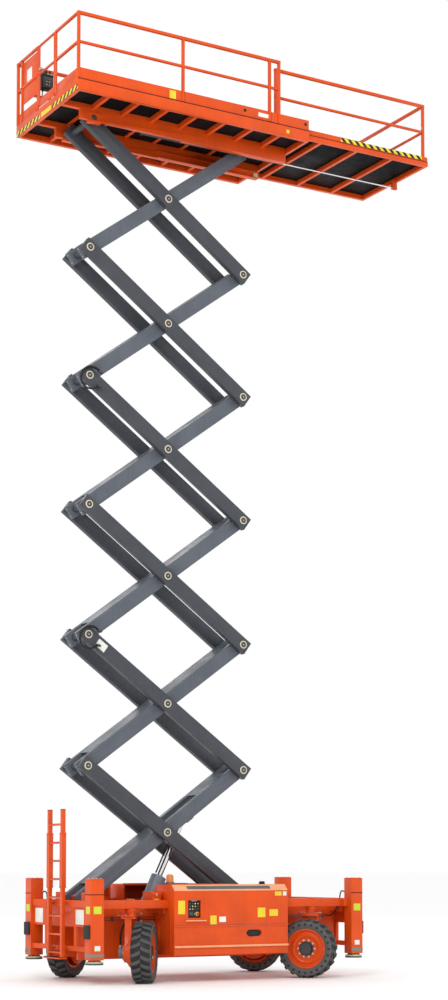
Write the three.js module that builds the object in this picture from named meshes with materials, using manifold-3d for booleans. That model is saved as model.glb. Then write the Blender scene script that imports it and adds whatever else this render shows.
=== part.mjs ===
// Rough-terrain scissor lift with a roll-out platform extension, raised about half way.
// Millimetres, +Z up. The origin is on the ground under the middle of the whole machine.
// +X runs from the ladder end towards the extension end; -Y is the side with the ground controls.
import * as THREE from 'three';
import { mergeVertices } from 'three/addons/utils/BufferGeometryUtils.js';
import Module from 'manifold-3d';

const wasm = await Module();
wasm.setup();

// ---------------------------------------------------------------- driving dimensions
const CHASSIS_X = -705;            // middle of the chassis along X
const SEAT_GAP = 0.3;              // gap kept between two pieces that touch
const RUNNING_GAP = 0.8;           // play of a leg or rod in its guide
const PIN_PLAY = 0.2;              // least radial play of a faceted pin in its bore
const ROUND_SIDES = 16;            // facets of a pin and its bore
const JOIN_TOLERANCE = 0.01;       // strips a join leaves on a flat face are merged within this
const BITE = 1;                    // overlap of two solids that are joined
const OVERCUT = 10;                // how far a cutter runs past the face it cuts

// chassis
const POST_X = 2510;               // corner post centre from the chassis middle
const POST_Y = 1150;
const POST_LENGTH = 230;           // along X
const POST_WIDTH = 220;            // along Y
const POST_BOTTOM = 400;
const POST_TOP = 1690;
const POST_CAP = 40;               // solid top of the post
const LEG_SIZE = 150;              // square jack leg inside the post
const SIDE_RAIL_Y = 950;           // centre of the upper side rail, above the kingpins
const SIDE_RAIL_WIDTH = 180;
const RAIL_BOTTOM = 1215;
const RAIL_TOP = 1350;
const KEEL_Y = 500;                // inner face of the deep keel plates
const KEEL_THICK = 60;
const KEEL_BOTTOM = 380;
const CROSS_PLATES = [[-2000, 560], [640, KEEL_BOTTOM], [1900, 560]];  // left face and underside
const CROSS_PLATE_THICK = 60;
const CROSS_PLATE_TOP = 1150;
const RAM_TRAY = { x0: -1900, x1: -1480, thick: 20 };
const OUTRIGGER_X = [-2470, -1140, 1060, 2390];  // left faces; the middle two pass the covers
const OUTRIGGER_LENGTH = 80;
const OUTRIGGER_BOTTOM = 1120;
const OUTRIGGER_TOP = 1255;
const EAR_HALF = 130;              // ears that hold the fixed lower pivot
const EAR_INNER_GAP = 30;
const EAR_BOTTOM = 1155;
const EAR_RISE = 90;
const END_FRAME_X = 2500;          // inner face of the end frames
const END_FRAME_THICK = 90;
// beams of an end frame from the top down: underside, top, and how far each is set back
const END_BEAMS = [
  { bottom: 1240, top: RAIL_TOP, inset: 0 },
  { bottom: 920, top: 1240 + BITE, inset: 25 },
  { bottom: 525, top: 605, inset: 0 },
];
const END_STRUT = { y: 560, half: 40, inset: 20 };
const COVER_HALF_LENGTH = 1100;    // side compartments
const COVER_OUTER_Y = 1250;
const COVER_BOTTOM = 440;
const COVER_TOP = 1600;
const COVER_CHAMFER = 100;         // slope along the top outer edge
const COVER_WALL = 25;
const COVER_INNER_GAP = 5;         // between a cover and the keel
const COVER_CUT_GAP = 5;           // round an outrigger that passes the cover

// wheels and steering
const KINGPIN_X = 1755;
const KINGPIN_R = 45;
const BOSS_R = 85;                 // boss under the side rail that the kingpin turns in
const BOSS_DROP = 100;
const KINGPIN_TOP_GAP = 5;         // between the kingpin and the end of its bore
const WHEEL_RADIUS = 500;
const WHEEL_WIDTH = 340;
const WHEEL_OFFSET = 230;          // wheel centre outboard of the kingpin
const RIM_RADIUS = 340;
const TYRE_SIDES = 24;
const STEER = { near_left: 54, far_left: 36, near_right: -47, far_right: -36 };

// scissor stack
const LEVELS = 6;
const ARM_LENGTH = 3710;           // pin to pin
const ARM_ANGLE = 36.1;            // degrees above the horizontal as it stands
const ARM_DEPTH = 240;
const BAR_WIDTH = 110;
const BAR_END = 115;               // bar beyond its end pin
const TOP_BAR_END = 95;            // bar beyond the upper roller
const INNER_Y = 150;               // inner face of the inner bars
const BAR_GAP = 10;
const PIN_R = 50;
const PIN_HEAD = 12;               // pin beyond the outer bar
const PIVOT_X = CHASSIS_X - 2256;  // fixed lower pivot
const PIVOT_Z = 1385;
const TIE_FROM_PIN = 520;          // square ties between the inner bars
const MIDDLE_TIE_BACK = 330;
const TIE_HALF = 60;
const COVER_PLATE = 12;            // plates that close an inner pair above and below
const COVER_PLATE_BACK = 240;      // plates stop short of the end pins
const TOP_PLATE_BACK = 800;        // and further back under the platform
const ROLLER_R = 45;               // rollers at the sliding ends
const ROLLER_STEP = 6;             // roller over its axle
const ROLLER_SIDE_GAP = 10;        // between a roller and the web of its track
const ROLLER_WIDTH = 30;
const LOWER_ROLLER_WIDTH = 80;
const ROLLER_GAP = 5;              // above and below a roller in its track
const TRACK_END = 140;             // track beyond the roller's travel
const TRACK_LIP = 10;              // thickness of a track's lips
const LIP_GAP = 5;                 // between the lips and the pin ends that pass them

// lift cylinder
const RAM_BASE_X = CHASSIS_X - 1322;
const RAM_BASE_Z = 450;
const RAM_PIN_R = 40;
const RAM_BARREL_R = 105;
const RAM_BARREL_LENGTH = 1420;
const RAM_ROD_R = 50;
const RAM_ROD_LENGTH = 1700;
const RAM_EYE_ALONG = 613;         // rod eye beyond the arm's centre pin
const RAM_EYE_BELOW = 76;          // rod eye below the arm's axis
const EYE_TIE = { x0: 320, x1: 440, half: 90 };        // beyond the rod eye along the arm
const EYE_OPENING = { before: 460, after: 330 };       // of the top plate round the rod eye
// cheek plates of the rod eye; outline from the eye along the arm, and above its axis
const EYE_PLATE = {
  y0: 65, y1: 90, outline: [[-70, -186], [60, -186], [430, -85], [430, 85], [-70, 40]],
};

// platform
const PLATFORM_LEFT = CHASSIS_X - 2910;
const PLATFORM_RIGHT = CHASSIS_X + 1600;
const PLATFORM_Y = 1220;
const FRAME_ABOVE_PIN = 100;       // frame underside above the top pins
const FRAME_DEPTH = 200;
const SIDE_BEAM = 70;
const DECK_RISE = 100;             // deck underside above the frame underside
const DECK_THICK = 6;
const INNER_BEAM_Y = 440;
const INNER_BEAM_WIDTH = 80;
const CROSS_BEAM_DEPTH = 80;
const MIDDLE_CROSS_DEPTH = 25;     // shallower where the arm ends turn below
const TOE_BOARD = 180;
const TOE_THICK = 12;
const TUBE_R = 21;
const RAIL_HEIGHT = 1100;          // top rail above the frame's top
const MID_RAIL_HEIGHT = 610;
const GATE_LOW_Y = -300;
const GATE_HIGH_Y = 340;
const GATE_POST = 40;              // gate post centre beyond the opening
const HINGE_R = 18;

// extension
const EXT_Y = 1050;
const EXT_LEFT = CHASSIS_X + 560;
const EXT_RIGHT = CHASSIS_X + 4300;
const EXT_BEAM = 70;
const EXT_DEPTH = 85;
const EXT_LIFT = 9;                // extension underside above the main deck
const EXT_RAIL_LEFT = CHASSIS_X + 1020;
const EXT_RAIL_HEIGHT = 1035;
const EXT_MID_HEIGHT = 545;
const EXT_RAM_Y = -90;
const EXT_RAM_R = 32;
const EXT_ROD_R = 15;

// ladder
const LADDER_Y = -40;
const LADDER_HALF_WIDTH = 250;
const LADDER_BOTTOM = 400;
const LADDER_TOP = 2840;
const RUNG_PITCH = 300;
const FIRST_RUNG = 90;             // above the ladder's foot
const LADDER_RAIL = { along: 60, across: 75 };         // section of an upright
const LADDER_STANDOFF = 45;        // uprights from the end frame
const SLEEVE = { wall: 8, side: 10, bottom: 1550, top: 2455 };
const BRACKET_Z = [560, 1295];
const BRACKET_HALF = 15;
const BRACKET_HALF_HEIGHT = 20;
const RUNG_HALF = 15;
const TREAD = { out: 60, in: 40, halfWidth: 300, half: 12 };

// ---------------------------------------------------------------- values that follow
const theta = THREE.MathUtils.degToRad(ARM_ANGLE);
const PITCH = ARM_LENGTH * Math.sin(theta);
const OUTER_Y = INNER_Y + BAR_WIDTH + BAR_GAP;
const STACK_Y = OUTER_Y + BAR_WIDTH;
const PIN_END = STACK_Y + PIN_HEAD;
const TOP_PIN_Z = PIVOT_Z + LEVELS * PITCH;
const FRAME_Z = TOP_PIN_Z + FRAME_ABOVE_PIN;
const FRAME_TOP = FRAME_Z + FRAME_DEPTH;
const DECK_Z = FRAME_Z + DECK_RISE;
const EXT_Z = DECK_Z + DECK_THICK + EXT_LIFT;
const EXT_TOP = EXT_Z + EXT_DEPTH;
const EXT_RAM_Z = FRAME_Z;
const TRACK_HALF = ROLLER_R + ROLLER_GAP;
const KINGPIN_TOP = RAIL_BOTTOM - 15;

// ---------------------------------------------------------------- materials
const paint = (color, roughness, metalness) =>
  new THREE.MeshStandardMaterial({ color, roughness, metalness });
const orange = paint(0xf04e0d, 0.35, 0.1);
const slate = paint(0x6c7480, 0.45, 0.2);
const blueGrey = paint(0x76828f, 0.4, 0.3);
const black = paint(0x1a1b1e, 0.6, 0.0);
const chrome = paint(0xd8dce0, 0.12, 1.0);
const rubber = paint(0x2a2b2d, 0.9, 0.0);
const amber = paint(0xf28a1e, 0.3, 0.0);
const iron = paint(0x55585c, 0.7, 0.5);

// ---------------------------------------------------------------- solids
function solidOf(geometry) {
  geometry.deleteAttribute('normal');
  geometry.deleteAttribute('uv');
  const merged = mergeVertices(geometry, 1e-4);
  return new wasm.Manifold(new wasm.Mesh({
    numProp: 3,
    vertProperties: new Float32Array(merged.attributes.position.array),
    triVerts: new Uint32Array(merged.index.array),
  }));
}

function geometryOf(solid) {
  const mesh = solid.asOriginal().simplify(JOIN_TOLERANCE).getMesh();
  const geometry = new THREE.BufferGeometry();
  geometry.setAttribute('position', new THREE.BufferAttribute(mesh.vertProperties, 3));
  geometry.setIndex(new THREE.BufferAttribute(mesh.triVerts, 1));
  geometry.computeVertexNormals();
  return geometry;
}

// A box whose corners take the coordinates as given, so that faces in one plane share it exactly.
function block(x0, x1, y0, y1, z0, z1) {
  const geometry = new THREE.BoxGeometry(1, 1, 1);
  const corner = geometry.attributes.position;
  for (let i = 0; i < corner.count; i += 1) {
    corner.setXYZ(i, corner.getX(i) < 0 ? x0 : x1, corner.getY(i) < 0 ? y0 : y1,
      corner.getZ(i) < 0 ? z0 : z1);
  }
  return solidOf(geometry);
}

// A round bar from one point to another.
function roundBar(from, to, radius, sides = ROUND_SIDES) {
  const start = new THREE.Vector3(...from);
  const run = new THREE.Vector3(...to).sub(start);
  const geometry = new THREE.CylinderGeometry(radius, radius, run.length(), sides);
  geometry.translate(0, run.length() / 2, 0);
  const turn = new THREE.Quaternion().setFromUnitVectors(
    new THREE.Vector3(0, 1, 0), run.clone().normalize());
  geometry.applyQuaternion(turn);
  geometry.translate(start.x, start.y, start.z);
  return solidOf(geometry);
}

const alongY = (x, y0, y1, z, radius, sides) => roundBar([x, y0, z], [x, y1, z], radius, sides);

// A solid of revolution about Z from [radius, height] points.
function turned(points, sides) {
  const profile = points.map(([r, z]) => new THREE.Vector2(r, z));
  const geometry = new THREE.LatheGeometry(profile, sides);
  geometry.rotateX(Math.PI / 2);
  return solidOf(geometry);
}

// An outline in X and Z, with its thickness along Y.
function plate(points, y0, y1) {
  const shape = new THREE.Shape(points.map(([x, z]) => new THREE.Vector2(x, z)));
  const geometry = new THREE.ExtrudeGeometry(shape, { depth: y1 - y0, bevelEnabled: false });
  geometry.rotateX(Math.PI / 2);
  geometry.translate(0, y1, 0);
  return solidOf(geometry);
}

// A bore stays clear of the corners of a faceted pin at every turn of the pin.
const boreFor = (radius, sides = ROUND_SIDES) => radius / Math.cos(Math.PI / sides) + PIN_PLAY;
const join = (...solids) => solids.flat().reduce((whole, piece) => whole.add(piece));
const cut = (whole, ...tools) => tools.flat().reduce((rest, tool) => rest.subtract(tool), whole);
const bothSides = (make) => [-1, 1].map(make);
const sideBlock = (x0, x1, side, y0, y1, z0, z1) =>
  block(x0, x1, Math.min(side * y0, side * y1), Math.max(side * y0, side * y1), z0, z1);

// Solid along X whose outline is given as distance from the middle plane and height.
function sidePrism(x0, x1, side, outline) {
  const shape = new THREE.Shape(outline.map(([y, z]) => new THREE.Vector2(side * y, z)));
  const geometry = new THREE.ExtrudeGeometry(shape, { depth: x1 - x0, bevelEnabled: false });
  geometry.applyMatrix4(new THREE.Matrix4().makeBasis(
    new THREE.Vector3(0, 1, 0), new THREE.Vector3(0, 0, 1), new THREE.Vector3(1, 0, 0)));
  geometry.translate(x0, 0, 0);
  return solidOf(geometry);
}

const group = new THREE.Group();

function addPart(name, solid, material, parent = group) {
  const mesh = new THREE.Mesh(geometryOf(solid), material);
  mesh.name = name;
  parent.add(mesh);
  return mesh;
}

// ---------------------------------------------------------------- chassis
const cx = (x) => CHASSIS_X + x;

function keel() {
  const trackLeft = PIVOT_X + ARM_LENGTH * 0.5 - TRACK_END;
  const trackRight = PIVOT_X + ARM_LENGTH + TRACK_END;
  return bothSides((side) => [
    sideBlock(cx(-END_FRAME_X - 10), cx(END_FRAME_X + 10), side,
      KEEL_Y, KEEL_Y + KEEL_THICK, KEEL_BOTTOM, RAIL_BOTTOM),
    // ears that hold the fixed lower pivot
    sideBlock(PIVOT_X - EAR_HALF, PIVOT_X + EAR_HALF, side,
      STACK_Y + EAR_INNER_GAP, KEEL_Y + KEEL_THICK, EAR_BOTTOM, PIVOT_Z + EAR_RISE),
    // channel that the lower slider blocks run in
    sideBlock(trackLeft, trackRight, side, KEEL_Y, KEEL_Y + KEEL_THICK,
      RAIL_BOTTOM - BITE, PIVOT_Z + TRACK_HALF + TRACK_LIP),
    sideBlock(trackLeft, trackRight, side, PIN_END + LIP_GAP, KEEL_Y + BITE,
      PIVOT_Z - TRACK_HALF - TRACK_LIP, PIVOT_Z - TRACK_HALF),
    sideBlock(trackLeft, trackRight, side, PIN_END + LIP_GAP, KEEL_Y + BITE,
      PIVOT_Z + TRACK_HALF, PIVOT_Z + TRACK_HALF + TRACK_LIP),
    // outriggers from the keel to the side rails
    ...OUTRIGGER_X.map((x) => sideBlock(cx(x), cx(x + OUTRIGGER_LENGTH), side,
      KEEL_Y + BITE, SIDE_RAIL_Y, OUTRIGGER_BOTTOM, OUTRIGGER_TOP)),
  ]).flat();
}

function crossMembers() {
  const reach = KEEL_Y + BITE;
  return [
    ...CROSS_PLATES.map(([x, bottom]) => block(cx(x), cx(x + CROSS_PLATE_THICK),
      -reach, reach, bottom, CROSS_PLATE_TOP)),
    block(cx(RAM_TRAY.x0), cx(RAM_TRAY.x1), -reach, reach,
      KEEL_BOTTOM, KEEL_BOTTOM + RAM_TRAY.thick),
    alongY(RAM_BASE_X, -reach, reach, RAM_BASE_Z, RAM_PIN_R),
    alongY(PIVOT_X, -reach, reach, PIVOT_Z, PIN_R),
  ];
}

function endFrame(end) {
  const x0 = Math.min(end * END_FRAME_X, end * (END_FRAME_X + END_FRAME_THICK));
  const reach = POST_Y - POST_WIDTH / 2 + BITE;
  const between = (inset, y0, y1, z0, z1) =>
    block(cx(x0 + inset), cx(x0 + END_FRAME_THICK - inset), y0, y1, z0, z1);
  return [
    ...END_BEAMS.map(({ bottom, top, inset }) => between(inset, -reach, reach, bottom, top)),
    ...bothSides((side) => between(END_STRUT.inset, side * END_STRUT.y - END_STRUT.half,
      side * END_STRUT.y + END_STRUT.half, END_BEAMS[2].bottom - BITE, END_BEAMS[1].bottom + BITE)),
  ];
}

function corners() {
  return [-1, 1].flatMap((end) => bothSides((side) => {
    const x = cx(end * POST_X);
    const y = side * POST_Y;
    return [
      block(x - POST_LENGTH / 2, x + POST_LENGTH / 2, y - POST_WIDTH / 2, y + POST_WIDTH / 2,
        POST_BOTTOM, POST_TOP),
      // boss of the kingpin under the side rail
      roundBar([cx(end * KINGPIN_X), side * SIDE_RAIL_Y, RAIL_BOTTOM - BOSS_DROP],
        [cx(end * KINGPIN_X), side * SIDE_RAIL_Y, RAIL_BOTTOM + BITE], BOSS_R),
    ];
  })).flat();
}

function cornerHollows() {
  const half = LEG_SIZE / 2 + RUNNING_GAP;
  return [-1, 1].flatMap((end) => bothSides((side) => {
    const x = cx(end * POST_X);
    const y = side * POST_Y;
    return [
      block(x - half, x + half, y - half, y + half, POST_BOTTOM - OVERCUT, POST_TOP - POST_CAP),
      roundBar([cx(end * KINGPIN_X), side * SIDE_RAIL_Y, RAIL_BOTTOM - BOSS_DROP - OVERCUT],
        [cx(end * KINGPIN_X), side * SIDE_RAIL_Y, KINGPIN_TOP + KINGPIN_TOP_GAP],
        boreFor(KINGPIN_R)),
    ];
  })).flat();
}

function sideRails() {
  const half = SIDE_RAIL_WIDTH / 2;
  const reach = POST_X - POST_LENGTH / 2 + 20;   // into the corner post
  const stub = 100;                              // widened end that meets the post
  return bothSides((side) => [
    sideBlock(cx(-reach), cx(reach), side, SIDE_RAIL_Y - half, SIDE_RAIL_Y + half,
      RAIL_BOTTOM, RAIL_TOP),
    ...[-1, 1].map((end) => {
      const x0 = Math.min(end * (reach - stub), end * END_FRAME_X);
      const x1 = Math.max(end * (reach - stub), end * END_FRAME_X);
      return sideBlock(cx(x0), cx(x1), side, SIDE_RAIL_Y - half, POST_Y, RAIL_BOTTOM, RAIL_TOP);
    }),
  ]).flat();
}

const chassis = cut(
  join(keel(), crossMembers(), endFrame(-1), endFrame(1), corners(), sideRails()),
  cornerHollows());
addPart('chassis_frame', chassis, orange);

// Section of a side compartment, its top outer corner cut back evenly.
const chamfered = (y0, y1, z0, z1, back) =>
  [[y0, z0], [y1, z0], [y1, z1 - back], [y1 - back, z1], [y0, z1]];

// Side compartment: a shell that is open towards the keel and cut out round the side rail.
function sideCover(side) {
  const inner = KEEL_Y + KEEL_THICK + COVER_INNER_GAP;
  const half = COVER_HALF_LENGTH;
  const shell = sidePrism(cx(-half), cx(half), side,
    chamfered(inner, COVER_OUTER_Y, COVER_BOTTOM, COVER_TOP, COVER_CHAMFER));
  const hollow = sidePrism(cx(-half + COVER_WALL), cx(half - COVER_WALL), side,
    chamfered(inner - OVERCUT, COVER_OUTER_Y - COVER_WALL, COVER_BOTTOM + COVER_WALL,
      COVER_TOP - COVER_WALL, COVER_CHAMFER - COVER_WALL * (2 - Math.SQRT2)));
  const railHalf = SIDE_RAIL_WIDTH / 2 + SEAT_GAP;
  const railSlot = sideBlock(cx(-half - OVERCUT), cx(half + OVERCUT), side, SIDE_RAIL_Y - railHalf,
    SIDE_RAIL_Y + railHalf, RAIL_BOTTOM - SEAT_GAP, RAIL_TOP + SEAT_GAP);
  const outriggers = OUTRIGGER_X.slice(1, 3).map((x) => sideBlock(
    cx(x - COVER_CUT_GAP), cx(x + OUTRIGGER_LENGTH + COVER_CUT_GAP), side, inner - OVERCUT,
    SIDE_RAIL_Y, OUTRIGGER_BOTTOM - COVER_CUT_GAP, OUTRIGGER_TOP + COVER_CUT_GAP));
  return [shell, [hollow, railSlot, ...outriggers]];
}

const CONTROL = { x0: -840, x1: -600, z0: 1055, z1: 1345, depth: 60, rim: 30, back: 20 };
const CONTROL_PANEL = { gap: 8, thick: 30 };
const GRIP = { x: 430, z: 790, halfLength: 150, halfHeight: 55, depth: 18 };

function gripRecess(side) {
  const shape = new THREE.Shape();
  const straight = GRIP.halfLength - GRIP.halfHeight;
  shape.moveTo(-straight, -GRIP.halfHeight);
  shape.lineTo(straight, -GRIP.halfHeight);
  shape.absarc(straight, 0, GRIP.halfHeight, -Math.PI / 2, Math.PI / 2, false);
  shape.lineTo(-straight, GRIP.halfHeight);
  shape.absarc(-straight, 0, GRIP.halfHeight, Math.PI / 2, Math.PI * 1.5, false);
  const geometry = new THREE.ExtrudeGeometry(shape,
    { depth: GRIP.depth * 2, bevelEnabled: false, curveSegments: 8 });
  geometry.rotateX(Math.PI / 2);
  geometry.translate(cx(GRIP.x), side * COVER_OUTER_Y + GRIP.depth, GRIP.z);
  return solidOf(geometry);
}

const [nearShell, nearCuts] = sideCover(-1);
const controlBack = sideBlock(cx(CONTROL.x0 - CONTROL.rim), cx(CONTROL.x1 + CONTROL.rim), -1,
  COVER_OUTER_Y - CONTROL.depth - CONTROL.back, COVER_OUTER_Y - BITE,
  CONTROL.z0 - CONTROL.rim, CONTROL.z1 + CONTROL.rim);
const controlRecess = sideBlock(cx(CONTROL.x0), cx(CONTROL.x1), -1,
  COVER_OUTER_Y - CONTROL.depth, COVER_OUTER_Y + OVERCUT, CONTROL.z0, CONTROL.z1);
const nearCover = cut(join(cut(nearShell, nearCuts), controlBack), controlRecess, gripRecess(-1));
addPart('near_side_cover', nearCover, orange);

const [farShell, farCuts] = sideCover(1);
addPart('far_side_cover', cut(farShell, farCuts, gripRecess(1)), orange);

addPart('control_panel', sideBlock(
  cx(CONTROL.x0 + CONTROL_PANEL.gap), cx(CONTROL.x1 - CONTROL_PANEL.gap), -1,
  COVER_OUTER_Y - CONTROL.depth + SEAT_GAP, COVER_OUTER_Y - CONTROL.depth + CONTROL_PANEL.thick,
  CONTROL.z0 + CONTROL_PANEL.gap, CONTROL.z1 - CONTROL_PANEL.gap), black);

// Engine with its pump, drawn as one block on the floor of the far compartment.
const ENGINE = { x0: -700, x1: 500, y0: 620, y1: 1180, top: 1190 };
addPart('engine', block(cx(ENGINE.x0), cx(ENGINE.x1), ENGINE.y0, ENGINE.y1,
  COVER_BOTTOM + COVER_WALL + SEAT_GAP, ENGINE.top), iron);

// [radius, height] up the side of the lamp
const BEACON = {
  x: -850, y: -640,
  profile: [[0, 0], [75, 0], [75, 40], [62, 46], [60, 145], [46, 165], [0, 170]],
};
addPart('beacon', turned(BEACON.profile, TYRE_SIDES), amber)
  .position.set(cx(BEACON.x), BEACON.y, COVER_TOP + SEAT_GAP);

// Boxes beside the foot of the stack, standing on the side rails.
const VALVE_COVER = { x0: -1330, x1: -1145, y0: -890, y1: -570, bottom: 1250, top: 1480 };
const BATTERY_BOX = { x0: -1640, x1: -1180, halfWidth: 60, top: 1590 };
const railClearance = block(cx(VALVE_COVER.x0 - OVERCUT), cx(VALVE_COVER.x1 + OVERCUT),
  VALVE_COVER.y0 - OVERCUT, -SIDE_RAIL_Y + SIDE_RAIL_WIDTH / 2 + SEAT_GAP,
  VALVE_COVER.bottom - OVERCUT, RAIL_TOP + SEAT_GAP);
addPart('valve_cover', cut(block(cx(VALVE_COVER.x0), cx(VALVE_COVER.x1),
  VALVE_COVER.y0, VALVE_COVER.y1, VALVE_COVER.bottom, VALVE_COVER.top), railClearance), orange);
addPart('battery_box', block(cx(BATTERY_BOX.x0), cx(BATTERY_BOX.x1),
  SIDE_RAIL_Y - BATTERY_BOX.halfWidth, SIDE_RAIL_Y + BATTERY_BOX.halfWidth,
  RAIL_TOP + SEAT_GAP, BATTERY_BOX.top), orange);

// ---------------------------------------------------------------- ladder
function ladder() {
  const outer = END_FRAME_X + END_FRAME_THICK;
  const x1 = cx(-outer - LADDER_STANDOFF);
  const x0 = x1 - LADDER_RAIL.along;
  const half = LADDER_RAIL.across / 2;
  const rails = bothSides((side) => {
    const y = LADDER_Y + side * LADDER_HALF_WIDTH;
    return [
      block(x0, x1, y - half, y + half, LADDER_BOTTOM, LADDER_TOP),
      block(x0 - SLEEVE.wall, x1 + SLEEVE.wall, y - half - SLEEVE.side, y + half + SLEEVE.side,
        SLEEVE.bottom, SLEEVE.top),
      ...BRACKET_Z.map((z) => block(x1 - BITE, cx(-outer) - SEAT_GAP, y - BRACKET_HALF,
        y + BRACKET_HALF, z - BRACKET_HALF_HEIGHT, z + BRACKET_HALF_HEIGHT)),
    ];
  }).flat();
  const count = Math.floor((LADDER_TOP - LADDER_BOTTOM) / RUNG_PITCH);
  const rungs = Array.from({ length: count }, (_, i) => {
    const z = LADDER_BOTTOM + FIRST_RUNG + i * RUNG_PITCH;
    return block(x0 + 5, x1 - 5, LADDER_Y - LADDER_HALF_WIDTH, LADDER_Y + LADDER_HALF_WIDTH,
      z - RUNG_HALF, z + RUNG_HALF);
  });
  const tread = block(x0 - TREAD.out, x1 + TREAD.in, LADDER_Y - TREAD.halfWidth,
    LADDER_Y + TREAD.halfWidth, LADDER_BOTTOM - TREAD.half, LADDER_BOTTOM + TREAD.half);
  return join(rails, rungs, tread);
}
addPart('ladder', ladder(), orange);

// ---------------------------------------------------------------- jack legs
const CORNERS = [
  ['near_left', -1, -1], ['far_left', -1, 1], ['near_right', 1, -1], ['far_right', 1, 1],
];

const PAD = { r: 145, top: POST_BOTTOM - 30, thick: 45 };

function jackLeg(x, y) {
  const half = LEG_SIZE / 2;
  return join(
    block(x - half, x + half, y - half, y + half, PAD.top - 20, POST_TOP - 60),
    roundBar([x, y, PAD.top - PAD.thick], [x, y, PAD.top], PAD.r, TYRE_SIDES));
}

CORNERS.forEach(([name, end, side]) =>
  addPart(`jack_leg_${name}`, jackLeg(cx(end * POST_X), side * POST_Y), slate));

// ---------------------------------------------------------------- wheels and knuckles
// Built straight ahead with the kingpin on Z and the wheel towards -Y, then turned.
const KNUCKLE_HEAD = { halfLength: 150, y0: -95, y1: 130, bottom: 1050, top: 1100 };
const KNUCKLE_LEG = { x: 95, half: 30, y0: -35, y1: 75, below: 40 };  // below the axle
const HUB_CASE_R = 165;
const HUB_R = 120;
const HUB_REACH = 20;              // hub beyond the wheel's middle plane
const MOTOR = { r: 90, length: 76, step: 20 };

function knuckle() {
  const { y0, y1 } = KNUCKLE_LEG;
  return join(
    roundBar([0, 0, KNUCKLE_HEAD.top], [0, 0, KINGPIN_TOP], KINGPIN_R),
    block(-KNUCKLE_HEAD.halfLength, KNUCKLE_HEAD.halfLength, KNUCKLE_HEAD.y0, KNUCKLE_HEAD.y1,
      KNUCKLE_HEAD.bottom, KNUCKLE_HEAD.top + BITE),
    ...bothSides((end) => block(end * KNUCKLE_LEG.x - KNUCKLE_LEG.half,
      end * KNUCKLE_LEG.x + KNUCKLE_LEG.half, y0, y1, WHEEL_RADIUS - KNUCKLE_LEG.below,
      KNUCKLE_HEAD.bottom + BITE)),
    alongY(0, y0, y1 + MOTOR.step, WHEEL_RADIUS, HUB_CASE_R),
    alongY(0, -WHEEL_OFFSET - HUB_REACH, y0 + BITE, WHEEL_RADIUS, HUB_R),
    alongY(0, y1 + MOTOR.step - BITE, y1 + MOTOR.step - BITE + MOTOR.length,
      WHEEL_RADIUS, MOTOR.r));
}

// Profiles run along the axle; the outboard side is positive.
const halfTyre = WHEEL_WIDTH / 2;
const tyreSolid = turned([
  [RIM_RADIUS + SEAT_GAP, -halfTyre + 30], [RIM_RADIUS + 25, -halfTyre + 8],
  [WHEEL_RADIUS - 80, -halfTyre], [WHEEL_RADIUS - 22, -halfTyre + 14],
  [WHEEL_RADIUS, -halfTyre + 45], [WHEEL_RADIUS, halfTyre - 45],
  [WHEEL_RADIUS - 22, halfTyre - 14], [WHEEL_RADIUS - 80, halfTyre],
  [RIM_RADIUS + 25, halfTyre - 8], [RIM_RADIUS + SEAT_GAP, halfTyre - 30],
  [RIM_RADIUS + SEAT_GAP, -halfTyre + 30],
], TYRE_SIDES);
const discFace = HUB_REACH + SEAT_GAP * 2;
const rimSolid = turned([
  [0, discFace], [170, discFace], [230, discFace + 30], [290, discFace - 10],
  [305, -halfTyre + 35], [RIM_RADIUS, -halfTyre + 32], [RIM_RADIUS, halfTyre - 32],
  [300, halfTyre - 32], [285, discFace + 40], [235, discFace + 62], [180, discFace + 40],
  [120, discFace + 40], [115, discFace + 120], [0, discFace + 125],
], TYRE_SIDES);

CORNERS.forEach(([name, end, side]) => {
  const steer = new THREE.Group();
  steer.position.set(cx(end * KINGPIN_X), side * SIDE_RAIL_Y, 0);
  steer.rotation.z = THREE.MathUtils.degToRad(STEER[name]) + (side > 0 ? Math.PI : 0);
  group.add(steer);
  addPart(`knuckle_${name}`, knuckle(), orange, steer);
  const wheel = new THREE.Group();
  wheel.position.set(0, -WHEEL_OFFSET, WHEEL_RADIUS);
  wheel.rotation.x = Math.PI / 2;
  steer.add(wheel);
  addPart(`tyre_${name}`, tyreSolid, rubber, wheel);
  addPart(`rim_${name}`, rimSolid, orange, wheel);
});

// ---------------------------------------------------------------- scissor arms
// Each arm frame lies along X with its first pin at the origin.
const barPair = (y0, from, to) => bothSides((side) =>
  sideBlock(from, to, side, y0, y0 + BAR_WIDTH, -ARM_DEPTH / 2, ARM_DEPTH / 2));
const pinBores = (places) => places.map((x) =>
  alongY(x, -STACK_Y, STACK_Y, 0, boreFor(PIN_R)));

// Axle and rollers of a sliding end.
const rollerPair = (x, y0, y1) => [
  alongY(x, -y0 - BITE, y0 + BITE, 0, ROLLER_R - ROLLER_STEP),
  ...bothSides((side) => alongY(x, Math.min(side * y0, side * y1), Math.max(side * y0, side * y1),
    0, ROLLER_R)),
];

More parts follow.
